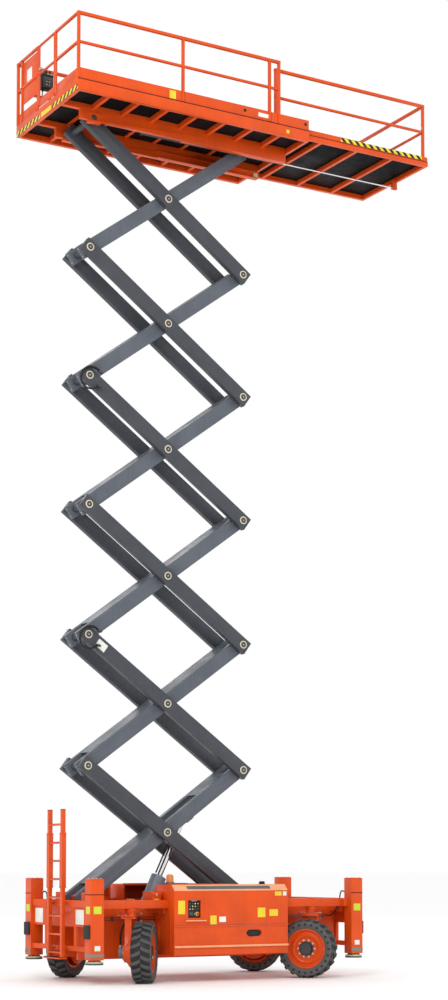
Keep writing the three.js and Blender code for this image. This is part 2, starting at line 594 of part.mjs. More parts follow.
function innerArm({ eye = false, slider = false } = {}) {
  const topEnd = slider ? TOP_BAR_END : BAR_END;
  const ties = [TIE_FROM_PIN, ARM_LENGTH / 2 - MIDDLE_TIE_BACK, ARM_LENGTH - TIE_FROM_PIN];
  const pieces = [
    ...barPair(INNER_Y, -BAR_END, ARM_LENGTH + topEnd),
    ...ties.map((x) => block(x - TIE_HALF, x + TIE_HALF, -INNER_Y - BITE, INNER_Y + BITE,
      -TIE_HALF, TIE_HALF)),
  ];
  const bores = [0, ARM_LENGTH / 2];
  const plateEnd = ARM_LENGTH - (slider ? TOP_PLATE_BACK : COVER_PLATE_BACK);
  const coverPlate = (x0, x1, z0) => block(x0, x1, -INNER_Y - BITE, INNER_Y + BITE,
    z0, z0 + COVER_PLATE);
  const plateTop = ARM_DEPTH / 2 - COVER_PLATE;
  if (slider) {
    const web = INNER_BEAM_Y - ROLLER_SIDE_GAP;
    pieces.push(...rollerPair(ARM_LENGTH, web - ROLLER_WIDTH, web));
  } else {
    bores.push(ARM_LENGTH);
  }
  if (eye) {
    // open below, and above round the rod eye, for the cylinder that comes up between the bars
    const eyeX = ARM_LENGTH / 2 + RAM_EYE_ALONG;
    pieces.push(coverPlate(COVER_PLATE_BACK, eyeX - EYE_OPENING.before, plateTop),
      coverPlate(eyeX + EYE_OPENING.after, plateEnd, plateTop));
    pieces.push(block(eyeX + EYE_TIE.x0, eyeX + EYE_TIE.x1, -INNER_Y - BITE, INNER_Y + BITE,
      -EYE_TIE.half, EYE_TIE.half));
    const outline = EYE_PLATE.outline.map(([x, z]) => [eyeX + x, z]);
    pieces.push(plate(outline, EYE_PLATE.y0, EYE_PLATE.y1),
      plate(outline, -EYE_PLATE.y1, -EYE_PLATE.y0));
  } else {
    pieces.push(coverPlate(COVER_PLATE_BACK, plateEnd, plateTop),
      coverPlate(COVER_PLATE_BACK, plateEnd, -ARM_DEPTH / 2));
  }
  return cut(join(pieces), pinBores(bores));
}

function outerArm({ slider = false, carrier = false } = {}) {
  const firstPin = carrier ? INNER_BEAM_Y + INNER_BEAM_WIDTH - ROLLER_SIDE_GAP : PIN_END;
  const pieces = [
    ...barPair(OUTER_Y, -BAR_END, ARM_LENGTH + BAR_END),
    alongY(ARM_LENGTH / 2, -PIN_END, PIN_END, 0, PIN_R),
    alongY(0, -firstPin, firstPin, 0, PIN_R),
  ];
  if (slider) {
    const web = KEEL_Y - ROLLER_SIDE_GAP;
    pieces.push(...rollerPair(ARM_LENGTH, web - LOWER_ROLLER_WIDTH, web));
  } else {
    pieces.push(alongY(ARM_LENGTH, -PIN_END, PIN_END, 0, PIN_R));
  }
  return join(pieces);
}

const plainInner = innerArm();
const plainOuter = outerArm();
for (let level = 1; level <= LEVELS; level += 1) {
  const first = level === 1;
  const last = level === LEVELS;
  const inner = first || last ? innerArm({ eye: first, slider: last }) : plainInner;
  const outer = first || last ? outerArm({ slider: first, carrier: last }) : plainOuter;
  const innerMesh = addPart(`inner_arms_${level}`, inner, slate);
  innerMesh.position.set(PIVOT_X, 0, PIVOT_Z + (level - 1) * PITCH);
  innerMesh.rotation.y = -theta;
  const outerMesh = addPart(`outer_arms_${level}`, outer, slate);
  outerMesh.position.set(PIVOT_X, 0, PIVOT_Z + level * PITCH);
  outerMesh.rotation.y = theta;
}

// ---------------------------------------------------------------- lift cylinder
const eyeAlong = ARM_LENGTH / 2 + RAM_EYE_ALONG;
const eyeX = PIVOT_X + eyeAlong * Math.cos(theta) + RAM_EYE_BELOW * Math.sin(theta);
const eyeZ = PIVOT_Z + eyeAlong * Math.sin(theta) - RAM_EYE_BELOW * Math.cos(theta);
const ramLength = Math.hypot(eyeX - RAM_BASE_X, eyeZ - RAM_BASE_Z);
const ramAngle = Math.atan2(eyeZ - RAM_BASE_Z, eyeX - RAM_BASE_X);
const alongX = (x0, x1, radius) => roundBar([x0, 0, 0], [x1, 0, 0], radius);
const BARREL = {
  from: 60, collar: 90, step: 12, eyeHalf: 55, eyeR: 85, boreFrom: 130, gland: 60, borePlay: 12,
};
const ROD_PLAY = 0.6;              // radial play of a rod in its gland
const ROD_EYE = { half: 50, r: 75, from: 50 };

const barrel = cut(
  join(alongX(BARREL.from, RAM_BARREL_LENGTH, RAM_BARREL_R - BARREL.step),
    alongX(RAM_BARREL_LENGTH - BARREL.collar, RAM_BARREL_LENGTH, RAM_BARREL_R),
    alongX(BARREL.from, BARREL.from + BARREL.collar, RAM_BARREL_R),
    alongY(0, -BARREL.eyeHalf, BARREL.eyeHalf, 0, BARREL.eyeR)),
  alongX(BARREL.boreFrom, RAM_BARREL_LENGTH - BARREL.gland, RAM_ROD_R + BARREL.borePlay),
  alongX(BARREL.boreFrom - BITE, RAM_BARREL_LENGTH + OVERCUT, RAM_ROD_R + ROD_PLAY),
  alongY(0, -BARREL.eyeHalf - OVERCUT, BARREL.eyeHalf + OVERCUT, 0, boreFor(RAM_PIN_R)));
const ram = new THREE.Group();
ram.position.set(RAM_BASE_X, 0, RAM_BASE_Z);
ram.rotation.y = -ramAngle;
group.add(ram);
addPart('lift_cylinder_barrel', barrel, blueGrey, ram);
const rod = cut(
  join(alongX(ramLength - RAM_ROD_LENGTH, ramLength - ROD_EYE.from, RAM_ROD_R),
    alongY(ramLength, -ROD_EYE.half, ROD_EYE.half, 0, ROD_EYE.r)),
  alongY(ramLength, -ROD_EYE.half - OVERCUT, ROD_EYE.half + OVERCUT, 0, RAM_PIN_R));
addPart('lift_cylinder_rod', rod, chrome, ram);

// ---------------------------------------------------------------- platform
const CROSS_COUNT = 7;
const CROSS_HALF = 30;
const RIGHT_BEAM = 50;
const ROD_HOLE_GAP = 6;            // round the extension rod where it passes the end beam
const DEEP_BEAM_BACK = 260;        // deep part of the inner beams behind the pivot
const PIVOT_PLATE = { half: 120, drop: 100 };
const platformCrossX = Array.from({ length: CROSS_COUNT }, (_, i) => PLATFORM_LEFT + SIDE_BEAM
  + (i + 1) * (PLATFORM_RIGHT - PLATFORM_LEFT - SIDE_BEAM) / (CROSS_COUNT + 1));

// Outer rectangle of beams, open above the deck at the extension's end.
function platformFrame() {
  const rodHole = roundBar([PLATFORM_RIGHT - RIGHT_BEAM - OVERCUT, EXT_RAM_Y, EXT_RAM_Z],
    [PLATFORM_RIGHT + OVERCUT, EXT_RAM_Y, EXT_RAM_Z], EXT_ROD_R + ROD_HOLE_GAP);
  return cut(join(
    block(PLATFORM_LEFT, PLATFORM_LEFT + SIDE_BEAM, -PLATFORM_Y, PLATFORM_Y,
      FRAME_Z, FRAME_TOP),
    block(PLATFORM_RIGHT - RIGHT_BEAM, PLATFORM_RIGHT, -PLATFORM_Y, PLATFORM_Y,
      FRAME_Z, DECK_Z),
    ...bothSides((side) => sideBlock(PLATFORM_LEFT, PLATFORM_RIGHT, side,
      PLATFORM_Y - SIDE_BEAM, PLATFORM_Y, FRAME_Z, FRAME_TOP))), rodHole);
}
addPart('platform_frame', platformFrame(), orange);

// Deep beams that the arms carry, with the roller track and the cross beams.
function platformSubframe() {
  const left = PLATFORM_LEFT + SIDE_BEAM + SEAT_GAP;
  const right = PLATFORM_RIGHT - RIGHT_BEAM - SEAT_GAP;
  const beamBottom = TOP_PIN_Z - TRACK_HALF - TRACK_LIP;
  const trackLeft = PIVOT_X + ARM_LENGTH * 0.5 - TRACK_END;
  const deepFrom = PIVOT_X - DEEP_BEAM_BACK;
  const innerBeam = (side, x0, x1, z0, z1) =>
    sideBlock(x0, x1, side, INNER_BEAM_Y, INNER_BEAM_Y + INNER_BEAM_WIDTH, z0, z1);
  const lip = (side, dz) => sideBlock(trackLeft, right, side,
    INNER_BEAM_Y - ROLLER_WIDTH - ROLLER_SIDE_GAP - 3, INNER_BEAM_Y + BITE, TOP_PIN_Z + dz,
    TOP_PIN_Z + dz + TRACK_LIP);
  const pieces = [
    ...bothSides((side) => [
      innerBeam(side, deepFrom, right, beamBottom, DECK_Z),
      innerBeam(side, left, deepFrom + BITE, FRAME_Z, DECK_Z),
      innerBeam(side, PIVOT_X - PIVOT_PLATE.half, PIVOT_X + PIVOT_PLATE.half,
        TOP_PIN_Z - PIVOT_PLATE.drop, TOP_PIN_Z),
      lip(side, -TRACK_HALF - TRACK_LIP),
      lip(side, TRACK_HALF),
      ...platformCrossX.map((x) => sideBlock(x - CROSS_HALF, x + CROSS_HALF, side,
        INNER_BEAM_Y + BITE, PLATFORM_Y - SIDE_BEAM - SEAT_GAP, DECK_Z - CROSS_BEAM_DEPTH,
        DECK_Z)),
    ]).flat(),
    ...platformCrossX.map((x) => block(x - CROSS_HALF, x + CROSS_HALF, -INNER_BEAM_Y - BITE,
      INNER_BEAM_Y + BITE, DECK_Z - MIDDLE_CROSS_DEPTH, DECK_Z)),
  ];
  const beamOuter = INNER_BEAM_Y + INNER_BEAM_WIDTH + OVERCUT;
  const pinBore = alongY(PIVOT_X, -beamOuter, beamOuter, TOP_PIN_Z, boreFor(PIN_R));
  return cut(join(pieces), pinBore);
}
addPart('platform_subframe', platformSubframe(), orange);

addPart('platform_deck', block(PLATFORM_LEFT + SIDE_BEAM + SEAT_GAP, PLATFORM_RIGHT - SEAT_GAP,
  -PLATFORM_Y + SIDE_BEAM + SEAT_GAP, PLATFORM_Y - SIDE_BEAM - SEAT_GAP,
  DECK_Z + SEAT_GAP, DECK_Z + DECK_THICK), black);

const TUBE_SIDES = 8;
const tube = (from, to) => roundBar(from, to, TUBE_R, TUBE_SIDES);
const RAIL_POSTS = [CHASSIS_X - 930, CHASSIS_X + 790, CHASSIS_X + 980];

// One side's guardrail with its half of the ladder end, up to the gate post.
function guardrail(side, gatePostY) {
  const base = FRAME_TOP + SEAT_GAP;
  const top = FRAME_TOP + RAIL_HEIGHT;
  const mid = FRAME_TOP + MID_RAIL_HEIGHT;
  const left = PLATFORM_LEFT + TUBE_R;
  const railRight = RAIL_POSTS[2];
  const y = side * (PLATFORM_Y - TUBE_R);
  const post = (x, py) => tube([x, py, base], [x, py, top]);
  return join(
    ...[left, ...RAIL_POSTS].map((x) => post(x, y)),
    tube([left - TUBE_R, y, top], [railRight + TUBE_R, y, top]),
    tube([left, y, mid], [railRight, y, mid]),
    sideBlock(PLATFORM_LEFT, PLATFORM_RIGHT, side, PLATFORM_Y - TUBE_R - TOE_THICK / 2,
      PLATFORM_Y - TUBE_R + TOE_THICK / 2, base, FRAME_TOP + TOE_BOARD),
    post(left, gatePostY),
    tube([left, gatePostY, top], [left, y, top]),
    tube([left, gatePostY, mid], [left, y, mid]),
    block(left - TOE_THICK / 2, left + TOE_THICK / 2, Math.min(gatePostY, y),
      Math.max(gatePostY, y), base, FRAME_TOP + TOE_BOARD));
}
addPart('near_guardrail', guardrail(-1, GATE_LOW_Y - GATE_POST), orange);

const SIGN_PANEL_END = PLATFORM_Y - TUBE_R - 180;
const SIGN_PANEL_HALF = 4;
const farGuardrail = guardrail(1, GATE_HIGH_Y + GATE_POST);
const signPanel = block(PLATFORM_LEFT + TUBE_R - SIGN_PANEL_HALF,
  PLATFORM_LEFT + TUBE_R + SIGN_PANEL_HALF,
  GATE_HIGH_Y + GATE_POST, SIGN_PANEL_END, FRAME_TOP + 300, FRAME_TOP + RAIL_HEIGHT - 60);
const signPost = tube([PLATFORM_LEFT + TUBE_R, SIGN_PANEL_END, FRAME_TOP + SEAT_GAP],
  [PLATFORM_LEFT + TUBE_R, SIGN_PANEL_END, FRAME_TOP + RAIL_HEIGHT]);
addPart('far_guardrail', join(farGuardrail, signPanel, signPost), orange);

const GATE = {
  low: 60, edgeGap: 10, boardHalf: 5, boardDrop: 30, topHinge: 140, lowHinge: 160, hingeHalf: 30,
};

function gate() {
  const x = PLATFORM_LEFT + TUBE_R;
  const top = FRAME_TOP + RAIL_HEIGHT;
  const mid = FRAME_TOP + MID_RAIL_HEIGHT;
  const low = FRAME_TOP + GATE.low;
  const hingeY = GATE_LOW_Y - GATE_POST + TUBE_R + SEAT_GAP + HINGE_R;
  const y0 = GATE_LOW_Y + GATE.edgeGap;
  const y1 = GATE_HIGH_Y - GATE.edgeGap;
  return join(
    ...[y0, y1].map((y) => tube([x, y, low], [x, y, top])),
    ...[top, mid].map((z) => tube([x, y0, z], [x, y1, z])),
    block(x - GATE.boardHalf, x + GATE.boardHalf, y0, y1, low - GATE.boardDrop,
      FRAME_TOP + TOE_BOARD),
    ...[top - GATE.topHinge, low + GATE.lowHinge].map((z) =>
      roundBar([x, hingeY, z - GATE.hingeHalf], [x, hingeY, z + GATE.hingeHalf], HINGE_R)));
}
addPart('entry_gate', gate(), orange);

// Console hung on the top rail; heights are above the frame's top.
const CONSOLE = { x0: -2560, x1: -2260, y0: 1010, y1: 1140, bottom: 640, top: 1000 };
const CONSOLE_ARM = { x0: -2440, x1: -2380, y0: 1100, y1: 1150, bottom: 990, top: 1100 };
const CONSOLE_HOOK_BOTTOM = 1019;

addPart('platform_control_box', join(
  block(cx(CONSOLE.x0), cx(CONSOLE.x1), CONSOLE.y0, CONSOLE.y1,
    FRAME_TOP + CONSOLE.bottom, FRAME_TOP + CONSOLE.top),
  block(cx(CONSOLE_ARM.x0), cx(CONSOLE_ARM.x1), CONSOLE.y1 - BITE,
    PLATFORM_Y - 2 * TUBE_R - SEAT_GAP, FRAME_TOP + CONSOLE_HOOK_BOTTOM,
    FRAME_TOP + CONSOLE_ARM.top - BITE),
  block(cx(CONSOLE_ARM.x0), cx(CONSOLE_ARM.x1), CONSOLE_ARM.y0, CONSOLE_ARM.y1,
    FRAME_TOP + CONSOLE_ARM.bottom, FRAME_TOP + CONSOLE_ARM.top)), black);

// ---------------------------------------------------------------- roll-out extension
const EXT_CROSS_PITCH = 770;       // cross beams back from the end
const EXT_CROSS_COUNT = 4;
const EXT_END_BEAM = 60;
const EXT_CROSS_HALF = 30;
const EXT_CROSS_STEP = 5;          // cross beams inside the side beams' outline
const EXT_PAD = { from: [20, 700], length: 160 };
const ROD_BRACKET = { x0: 130, x1: 30, half: 30, rise: 20 };  // x from the extension's end

function extensionFrame() {
  const crossX = Array.from({ length: EXT_CROSS_COUNT }, (_, i) =>
    EXT_RIGHT - (i + 1) * EXT_CROSS_PITCH);
  const pads = bothSides((side) => EXT_PAD.from.map((x) => sideBlock(EXT_LEFT + x,
    EXT_LEFT + x + EXT_PAD.length, side, EXT_Y - EXT_BEAM, EXT_Y,
    DECK_Z + DECK_THICK + SEAT_GAP * 2, EXT_Z + BITE)));
  return join(
    ...bothSides((side) => sideBlock(EXT_LEFT, EXT_RIGHT, side, EXT_Y - EXT_BEAM, EXT_Y,
      EXT_Z, EXT_TOP)),
    block(EXT_LEFT, EXT_LEFT + EXT_END_BEAM, -EXT_Y, EXT_Y, EXT_Z, EXT_TOP),
    block(EXT_RIGHT - EXT_END_BEAM, EXT_RIGHT, -EXT_Y, EXT_Y, EXT_Z, EXT_TOP),
    ...crossX.map((x) => block(x - EXT_CROSS_HALF, x + EXT_CROSS_HALF, -EXT_Y + EXT_CROSS_STEP,
      EXT_Y - EXT_CROSS_STEP, EXT_Z, EXT_TOP - EXT_CROSS_STEP)),
    pads.flat(),
    // bracket that the extension rod pushes on
    block(EXT_RIGHT - ROD_BRACKET.x0, EXT_RIGHT - ROD_BRACKET.x1, EXT_RAM_Y - ROD_BRACKET.half,
      EXT_RAM_Y + ROD_BRACKET.half, EXT_RAM_Z - ROD_BRACKET.half, EXT_Z + ROD_BRACKET.rise));
}
addPart('extension_frame', extensionFrame(), orange);

const EXT_DECK = { edge: 5, thick: 4 };
addPart('extension_deck', block(EXT_LEFT + EXT_DECK.edge, EXT_RIGHT - EXT_DECK.edge,
  -EXT_Y + EXT_DECK.edge, EXT_Y - EXT_DECK.edge,
  EXT_TOP + SEAT_GAP, EXT_TOP + SEAT_GAP + EXT_DECK.thick), black);

const EXT_RAIL_END = 100;          // end rail back from the extension's end
const EXT_TOE = { half: 5, left: 10, right: 2, thick: 10, top: 90 };

function extensionRail() {
  const base = EXT_TOP + SEAT_GAP * 2 + EXT_DECK.thick;
  const top = EXT_TOP + EXT_RAIL_HEIGHT;
  const mid = EXT_TOP + EXT_MID_HEIGHT;
  const right = EXT_RIGHT - EXT_RAIL_END;
  const y = EXT_Y - TUBE_R;
  const toeTop = EXT_TOP + EXT_TOE.top;
  const toeEnd = EXT_RIGHT - EXT_TOE.right;
  return join(
    ...bothSides((side) => [
      ...[EXT_RAIL_LEFT, right].map((x) =>
        tube([x, side * y, base], [x, side * y, top])),
      tube([EXT_RAIL_LEFT - TUBE_R, side * y, top], [right + TUBE_R, side * y, top]),
      tube([EXT_RAIL_LEFT, side * y, mid], [right, side * y, mid]),
      sideBlock(EXT_LEFT + EXT_TOE.left, toeEnd, side, y - EXT_TOE.half, y + EXT_TOE.half,
        base, toeTop),
    ]).flat(),
    ...[top, mid].map((z) => tube([right, -y - TUBE_R, z], [right, y + TUBE_R, z])),
    block(toeEnd - EXT_TOE.thick, toeEnd, -y - EXT_TOE.half, y + EXT_TOE.half, base, toeTop));
}
addPart('extension_guardrail', extensionRail(), orange);

const EXT_RAM = { length: 2700, end: 60, cap: 20, gland: 40, play: 7, overlap: 60 };
const HANGER_HALF = 15;

function extensionRam() {
  const x1 = PLATFORM_RIGHT - EXT_RAM.end;
  const x0 = x1 - EXT_RAM.length;
  const line = (from, to, radius) =>
    roundBar([from, EXT_RAM_Y, EXT_RAM_Z], [to, EXT_RAM_Y, EXT_RAM_Z], radius);
  const hangers = [platformCrossX[3], platformCrossX[6]].map((x) => block(
    x - HANGER_HALF, x + HANGER_HALF, EXT_RAM_Y - HANGER_HALF, EXT_RAM_Y + HANGER_HALF,
    EXT_RAM_Z + EXT_RAM_R - 8, DECK_Z - MIDDLE_CROSS_DEPTH - SEAT_GAP));
  const body = cut(join(line(x0, x1, EXT_RAM_R), hangers),
    line(x0 + EXT_RAM.cap, x1 - EXT_RAM.gland, EXT_ROD_R + EXT_RAM.play),
    line(x0 + EXT_RAM.cap - BITE, x1 + OVERCUT, EXT_ROD_R + ROD_PLAY));
  const rodSolid = line(x1 - EXT_RAM.overlap, EXT_RIGHT - ROD_BRACKET.x0 - SEAT_GAP, EXT_ROD_R);
  return [body, rodSolid];
}
const [extBarrel, extRod] = extensionRam();
addPart('extension_cylinder_barrel', extBarrel, black);
addPart('extension_cylinder_rod', extRod, chrome);

export default group;
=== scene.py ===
"""Looks of a rough-terrain scissor lift: stage, finishes and fitted detail of each assembly."""
import math

import bmesh
import bpy
from bpy.props import FloatProperty, FloatVectorProperty, IntProperty, PointerProperty
from mathutils import Matrix, Vector


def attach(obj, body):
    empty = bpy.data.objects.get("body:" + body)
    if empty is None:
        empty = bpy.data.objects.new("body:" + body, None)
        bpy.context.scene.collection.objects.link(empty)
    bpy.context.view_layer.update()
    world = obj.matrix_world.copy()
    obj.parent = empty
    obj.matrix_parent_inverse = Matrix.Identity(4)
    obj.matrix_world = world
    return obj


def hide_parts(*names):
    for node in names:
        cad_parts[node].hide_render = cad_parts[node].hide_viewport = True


bl_info = {
    "name": "Scissor lift detail",
    "version": (1, 0, 0),
    "blender": (4, 5, 0),
    "location": "View3D > Sidebar > Scissor lift",
    "description": "Builds the finishes and fitted detail of a scissor lift round its frame",
    "category": "Add Mesh",
}

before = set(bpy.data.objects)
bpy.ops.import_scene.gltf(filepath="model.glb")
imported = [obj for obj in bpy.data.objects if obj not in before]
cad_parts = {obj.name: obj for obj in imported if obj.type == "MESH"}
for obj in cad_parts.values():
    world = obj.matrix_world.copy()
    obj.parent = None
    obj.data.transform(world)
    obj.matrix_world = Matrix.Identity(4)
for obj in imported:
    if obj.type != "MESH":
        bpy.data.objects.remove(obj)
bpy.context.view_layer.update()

# ------------------------------------------------------------------ places, in metres
CHASSIS_X = -0.705
SIDES = (-1, 1)
CORNERS = {
    "near_left": (-1, -1, 54), "far_left": (-1, 1, 36),
    "near_right": (1, -1, -47), "far_right": (1, 1, -36),
}
POST_X, POST_Y, POST_TOP = 2.51, 1.15, 1.69
RAIL_TOP, RAIL_BOTTOM, SIDE_RAIL_Y = 1.35, 1.215, 0.95
END_X = 2.59
KINGPIN_X, WHEEL_OFFSET, WHEEL_RADIUS = 1.755, 0.23, 0.5
COVER_X, COVER_Y, COVER_TOP = 1.1, 1.25, 1.6
COVER_CHAMFER = 0.1
LADDER_X, LADDER_Y, LADDER_HALF = (-3.4, -3.34), -0.04, 0.25
LEVELS, ARM_LENGTH, ARM_ANGLE = 6, 3.71, math.radians(36.1)
PIVOT_X, PIVOT_Z = CHASSIS_X - 2.256, 1.385
PITCH = ARM_LENGTH * math.sin(ARM_ANGLE)
OUTER_FACE, HALF_DEPTH, BAR_END = 0.38, 0.12, 0.115
RAM_BASE = Vector((CHASSIS_X - 1.322, 0, 0.45))
RAM_LINE = Vector((0.428812, 0, 0.903394)).normalized()
PLATFORM_LEFT, PLATFORM_RIGHT, PLATFORM_Y = CHASSIS_X - 2.91, CHASSIS_X + 1.6, 1.22
FRAME_Z = PIVOT_Z + LEVELS * PITCH + 0.1
FRAME_TOP, DECK_Z = FRAME_Z + 0.2, FRAME_Z + 0.1
EXT_LEFT, EXT_RIGHT, EXT_Y = CHASSIS_X + 0.56, CHASSIS_X + 4.3, 1.05
EXT_TOP = DECK_Z + 0.1
TUBE, RAIL = 0.021, 0.026        # half of a thin tube and of a square rail
RAIL_HEIGHT, MID_RAIL, TOE_BOARD = 1.1, 0.61, 0.18
EXT_RAIL_HEIGHT, EXT_MID_RAIL, EXT_TOE_BOARD = 1.035, 0.545, 0.09
KEEL_Y, HARD_LINES = 0.56, (1.02, 1.06)
KNUCKLE_PLATE, AXLE = 1.0925, 0.5
BARREL_RADIUS, GLAND = 0.0935, 1.42
FOOT_TOP, RUNG_PITCH, FIRST_RUNG = 0.372, 0.3, 0.49
PLATE = 0.0015                   # how far a blank plate stands proud
SHARP = math.radians(35)         # edges sharper than this stay sharp when shaded
BAR_HALF_LENGTH, BAR_HALF_WIDTH = 0.42, 0.13     # chequer bars, in shares of their pitch
LENS, SENSOR, SHIFT = 68.5, 36.0, 0.249
CAMERA_PLACE, CAMERA_PITCH, CAMERA_YAW = (-16.934, -28.656, 1.92), 93.5, -30.39


def cx(x):
    """A place along the chassis, in the frame of the whole machine."""
    return CHASSIS_X + x


# ------------------------------------------------------------------ shapes
def about(centre, half):
    """The span to half either side of a centre."""
    return centre - half, centre + half


def above(base, low, high):
    """The span between two heights over a base."""
    return base + low, base + high


def span(at, side, near, far):
    """The span between two distances out from a place, towards a side."""
    return sorted((at + side * near, at + side * far))


def slab(x, y, z, bevel=0.0, segments=2):
    """A box between two places on each axis, with rounded edges."""
    bm = bmesh.new()
    bmesh.ops.create_cube(bm, size=1.0)
    size = Vector((x[1] - x[0], y[1] - y[0], z[1] - z[0]))
    centre = Vector(((x[0] + x[1]) / 2, (y[0] + y[1]) / 2, (z[0] + z[1]) / 2))
    bmesh.ops.scale(bm, vec=size, verts=bm.verts)
    bmesh.ops.translate(bm, vec=centre, verts=bm.verts)
    return soften(bm, min(bevel, 0.45 * min(size)), segments)


def soften(bm, width, segments=2, angle=30):
    """Rounds the edges that are sharper than the angle."""
    if width > 0:
        sharp = [e for e in bm.edges
                 if e.is_manifold and e.calc_face_angle(0) > math.radians(angle)]
        bmesh.ops.bevel(bm, geom=sharp, offset=width, offset_type="OFFSET", segments=segments,
                        profile=0.5, affect="EDGES", material=-1, clamp_overlap=True)
    return bm


def square(start, end, half, bevel=0.006):
    """A square tube along one axis, from end to end."""
    spans = [(min(a, b) - half, max(a, b) + half) for a, b in zip(start, end)]
    return slab(*spans, bevel)


def toward(start, end):
    """Moves a shape that stands on Z so that it runs from one point towards another."""
    run = Vector(end) - Vector(start)
    return Matrix.Translation(start) @ run.to_track_quat("Z", "Y").to_matrix().to_4x4()


def bar(start, end, radius, sides=24, bevel=0.0, tip=None):
    """A round bar or cone between two points."""
    length = (Vector(end) - Vector(start)).length
    bm = bmesh.new()
    bmesh.ops.create_cone(bm, cap_ends=True, cap_tris=False, segments=sides, radius1=radius,
                          radius2=radius if tip is None else tip, depth=length)
    bmesh.ops.translate(bm, vec=(0, 0, length / 2), verts=bm.verts)
    soften(bm, bevel, 2, 50)
    bmesh.ops.transform(bm, matrix=toward(start, end), verts=bm.verts)
    return bm


def turned(profile, steps=48, place=None):
    """A profile of (radius, height) turned once round Z, then placed."""
    bm = bmesh.new()
    verts = [bm.verts.new((r, 0, z)) for r, z in profile]
    edges = [bm.edges.new(pair) for pair in zip(verts, verts[1:])]
    bmesh.ops.spin(bm, geom=verts + edges, cent=(0, 0, 0), axis=(0, 0, 1), dvec=(0, 0, 0),
                   angle=2 * math.pi, steps=steps, use_merge=True)
    bmesh.ops.remove_doubles(bm, verts=bm.verts, dist=1e-5)
    bmesh.ops.recalc_face_normals(bm, faces=bm.faces)
    if place is not None:
        bmesh.ops.transform(bm, matrix=place, verts=bm.verts)
    return bm


def ring(inner, outer, low, high, place=None, steps=32, bevel=0.002):
    """A flat collar with rounded rims."""
    b = min(bevel, (outer - inner) * 0.4, (high - low) * 0.4)
    return turned([(inner, low), (outer - b, low), (outer, low + b), (outer, high - b),
                   (outer - b, high), (inner, high), (inner, low)], steps, place)


def outline(points, depth, place=None, bevel=0.0):
    """A flat outline in X and Y, raised along Z."""
    bm = bmesh.new()
    face = bm.faces.new([bm.verts.new((x, y, 0)) for x, y in points])
    raised = bmesh.ops.extrude_face_region(bm, geom=[face])
    up = [v for v in raised["geom"] if isinstance(v, bmesh.types.BMVert)]
    bmesh.ops.translate(bm, vec=(0, 0, depth), verts=up)
    bmesh.ops.recalc_face_normals(bm, faces=bm.faces)
    soften(bm, bevel)
    if place is not None:
        bmesh.ops.transform(bm, matrix=place, verts=bm.verts)
    return bm


def border(x, z, width, y, bevel=0.001):
    """A flat rectangular frame that stands across Y."""
    bm = slab(x, y, z)
    ends = [f for f in bm.faces if abs(f.normal.y) > 0.9]
    bmesh.ops.inset_individual(bm, faces=ends, thickness=width, use_even_offset=True)
    rims = [e for f in ends for e in f.edges]
    bmesh.ops.delete(bm, geom=ends, context="FACES_ONLY")
    bmesh.ops.bridge_loops(bm, edges=rims)
    bmesh.ops.recalc_face_normals(bm, faces=bm.faces)
    return soften(bm, bevel, 1)


def pipe(points, radius, closed=False, corner=0.0, sides=12):
    """A tube along points, with its corners bent to a radius."""
    curve = bpy.data.curves.new("route", "CURVE")
    curve.dimensions = "3D"
    curve.bevel_depth = radius
    curve.bevel_resolution = max(0, sides // 4 - 1)
    curve.use_fill_caps = not closed
    route = rounded(points, corner) if corner else [Vector(p) for p in points]
    spline = curve.splines.new("POLY" if corner or len(points) == 2 else "NURBS")
    spline.points.add(len(route) - 1)
    for point, place in zip(spline.points, route):
        point.co = (*place, 1)
    spline.use_cyclic_u = closed
    if spline.type == "NURBS":
        spline.order_u = min(4, len(route))
        spline.use_endpoint_u = True
        spline.resolution_u = 6
    holder = bpy.data.objects.new("route", curve)
    mesh = bpy.data.meshes.new_from_object(holder)
    bm = bmesh.new()
    bm.from_mesh(mesh)
    bpy.data.objects.remove(holder)
    bpy.data.curves.remove(curve)
    bpy.data.meshes.remove(mesh)
    bmesh.ops.remove_doubles(bm, verts=bm.verts, dist=1e-5)
    bmesh.ops.recalc_face_normals(bm, faces=bm.faces)
    return bm


def rounded(points, radius, steps=5):
    """The route with an arc in place of each inner corner."""
    points = [Vector(p) for p in points]
    route = [points[0]]
    for before, at, after in zip(points, points[1:], points[2:]):
        back, on = (before - at).normalized(), (after - at).normalized()
        start, end = at + back * radius, at + on * radius
        for i in range(steps + 1):
            t = i / steps
            route.append(start * (1 - t) ** 2 + at * 2 * t * (1 - t) + end * t * t)
    return route + [points[-1]]


def hex_bolt(radius=0.012, height=0.008):
    """A hexagon head on its washer, standing on Z from the origin."""
    whole = bmesh.new()
    add(whole, bar((0, 0, 0), (0, 0, height * 0.3), radius * 1.45, 12))
    add(whole, bar((0, 0, height * 0.3), (0, 0, height), radius, 6, tip=radius * 0.93))
    return whole


def add(whole, *parts, place=None, tint=None):
    """Joins finished shapes into one piece, with an optional place and material number."""
    for part in parts:
        if place is not None:
            bmesh.ops.transform(part, matrix=place, verts=part.verts)
        if tint is not None:
            for face in part.faces:
                face.material_index = tint
        mesh = bpy.data.meshes.new("part")
        part.to_mesh(mesh)
        part.free()
        whole.from_mesh(mesh)
        bpy.data.meshes.remove(mesh)
    return whole


def box(whole, x, y, z, bevel=0.0, segments=2, place=None, tint=None):
    """Joins in one box."""
    add(whole, slab(x, y, z, bevel, segments), place=place, tint=tint)


def plate(whole, x, y, z, tint):
    """Joins in a thin sheet."""
    box(whole, x, y, z, 0.0005, 1, tint=tint)


def repeat(whole, part, places, tint=None):
    """Joins one shape in at many places."""
    if tint is not None:
        for face in part.faces:
            face.material_index = tint
    mesh = bpy.data.meshes.new("part")
    part.to_mesh(mesh)
    part.free()
    for place in places:
        copy = bmesh.new()
        copy.from_mesh(mesh)
        bmesh.ops.transform(copy, matrix=place, verts=copy.verts)
        add(whole, copy)
    bpy.data.meshes.remove(mesh)
    return whole


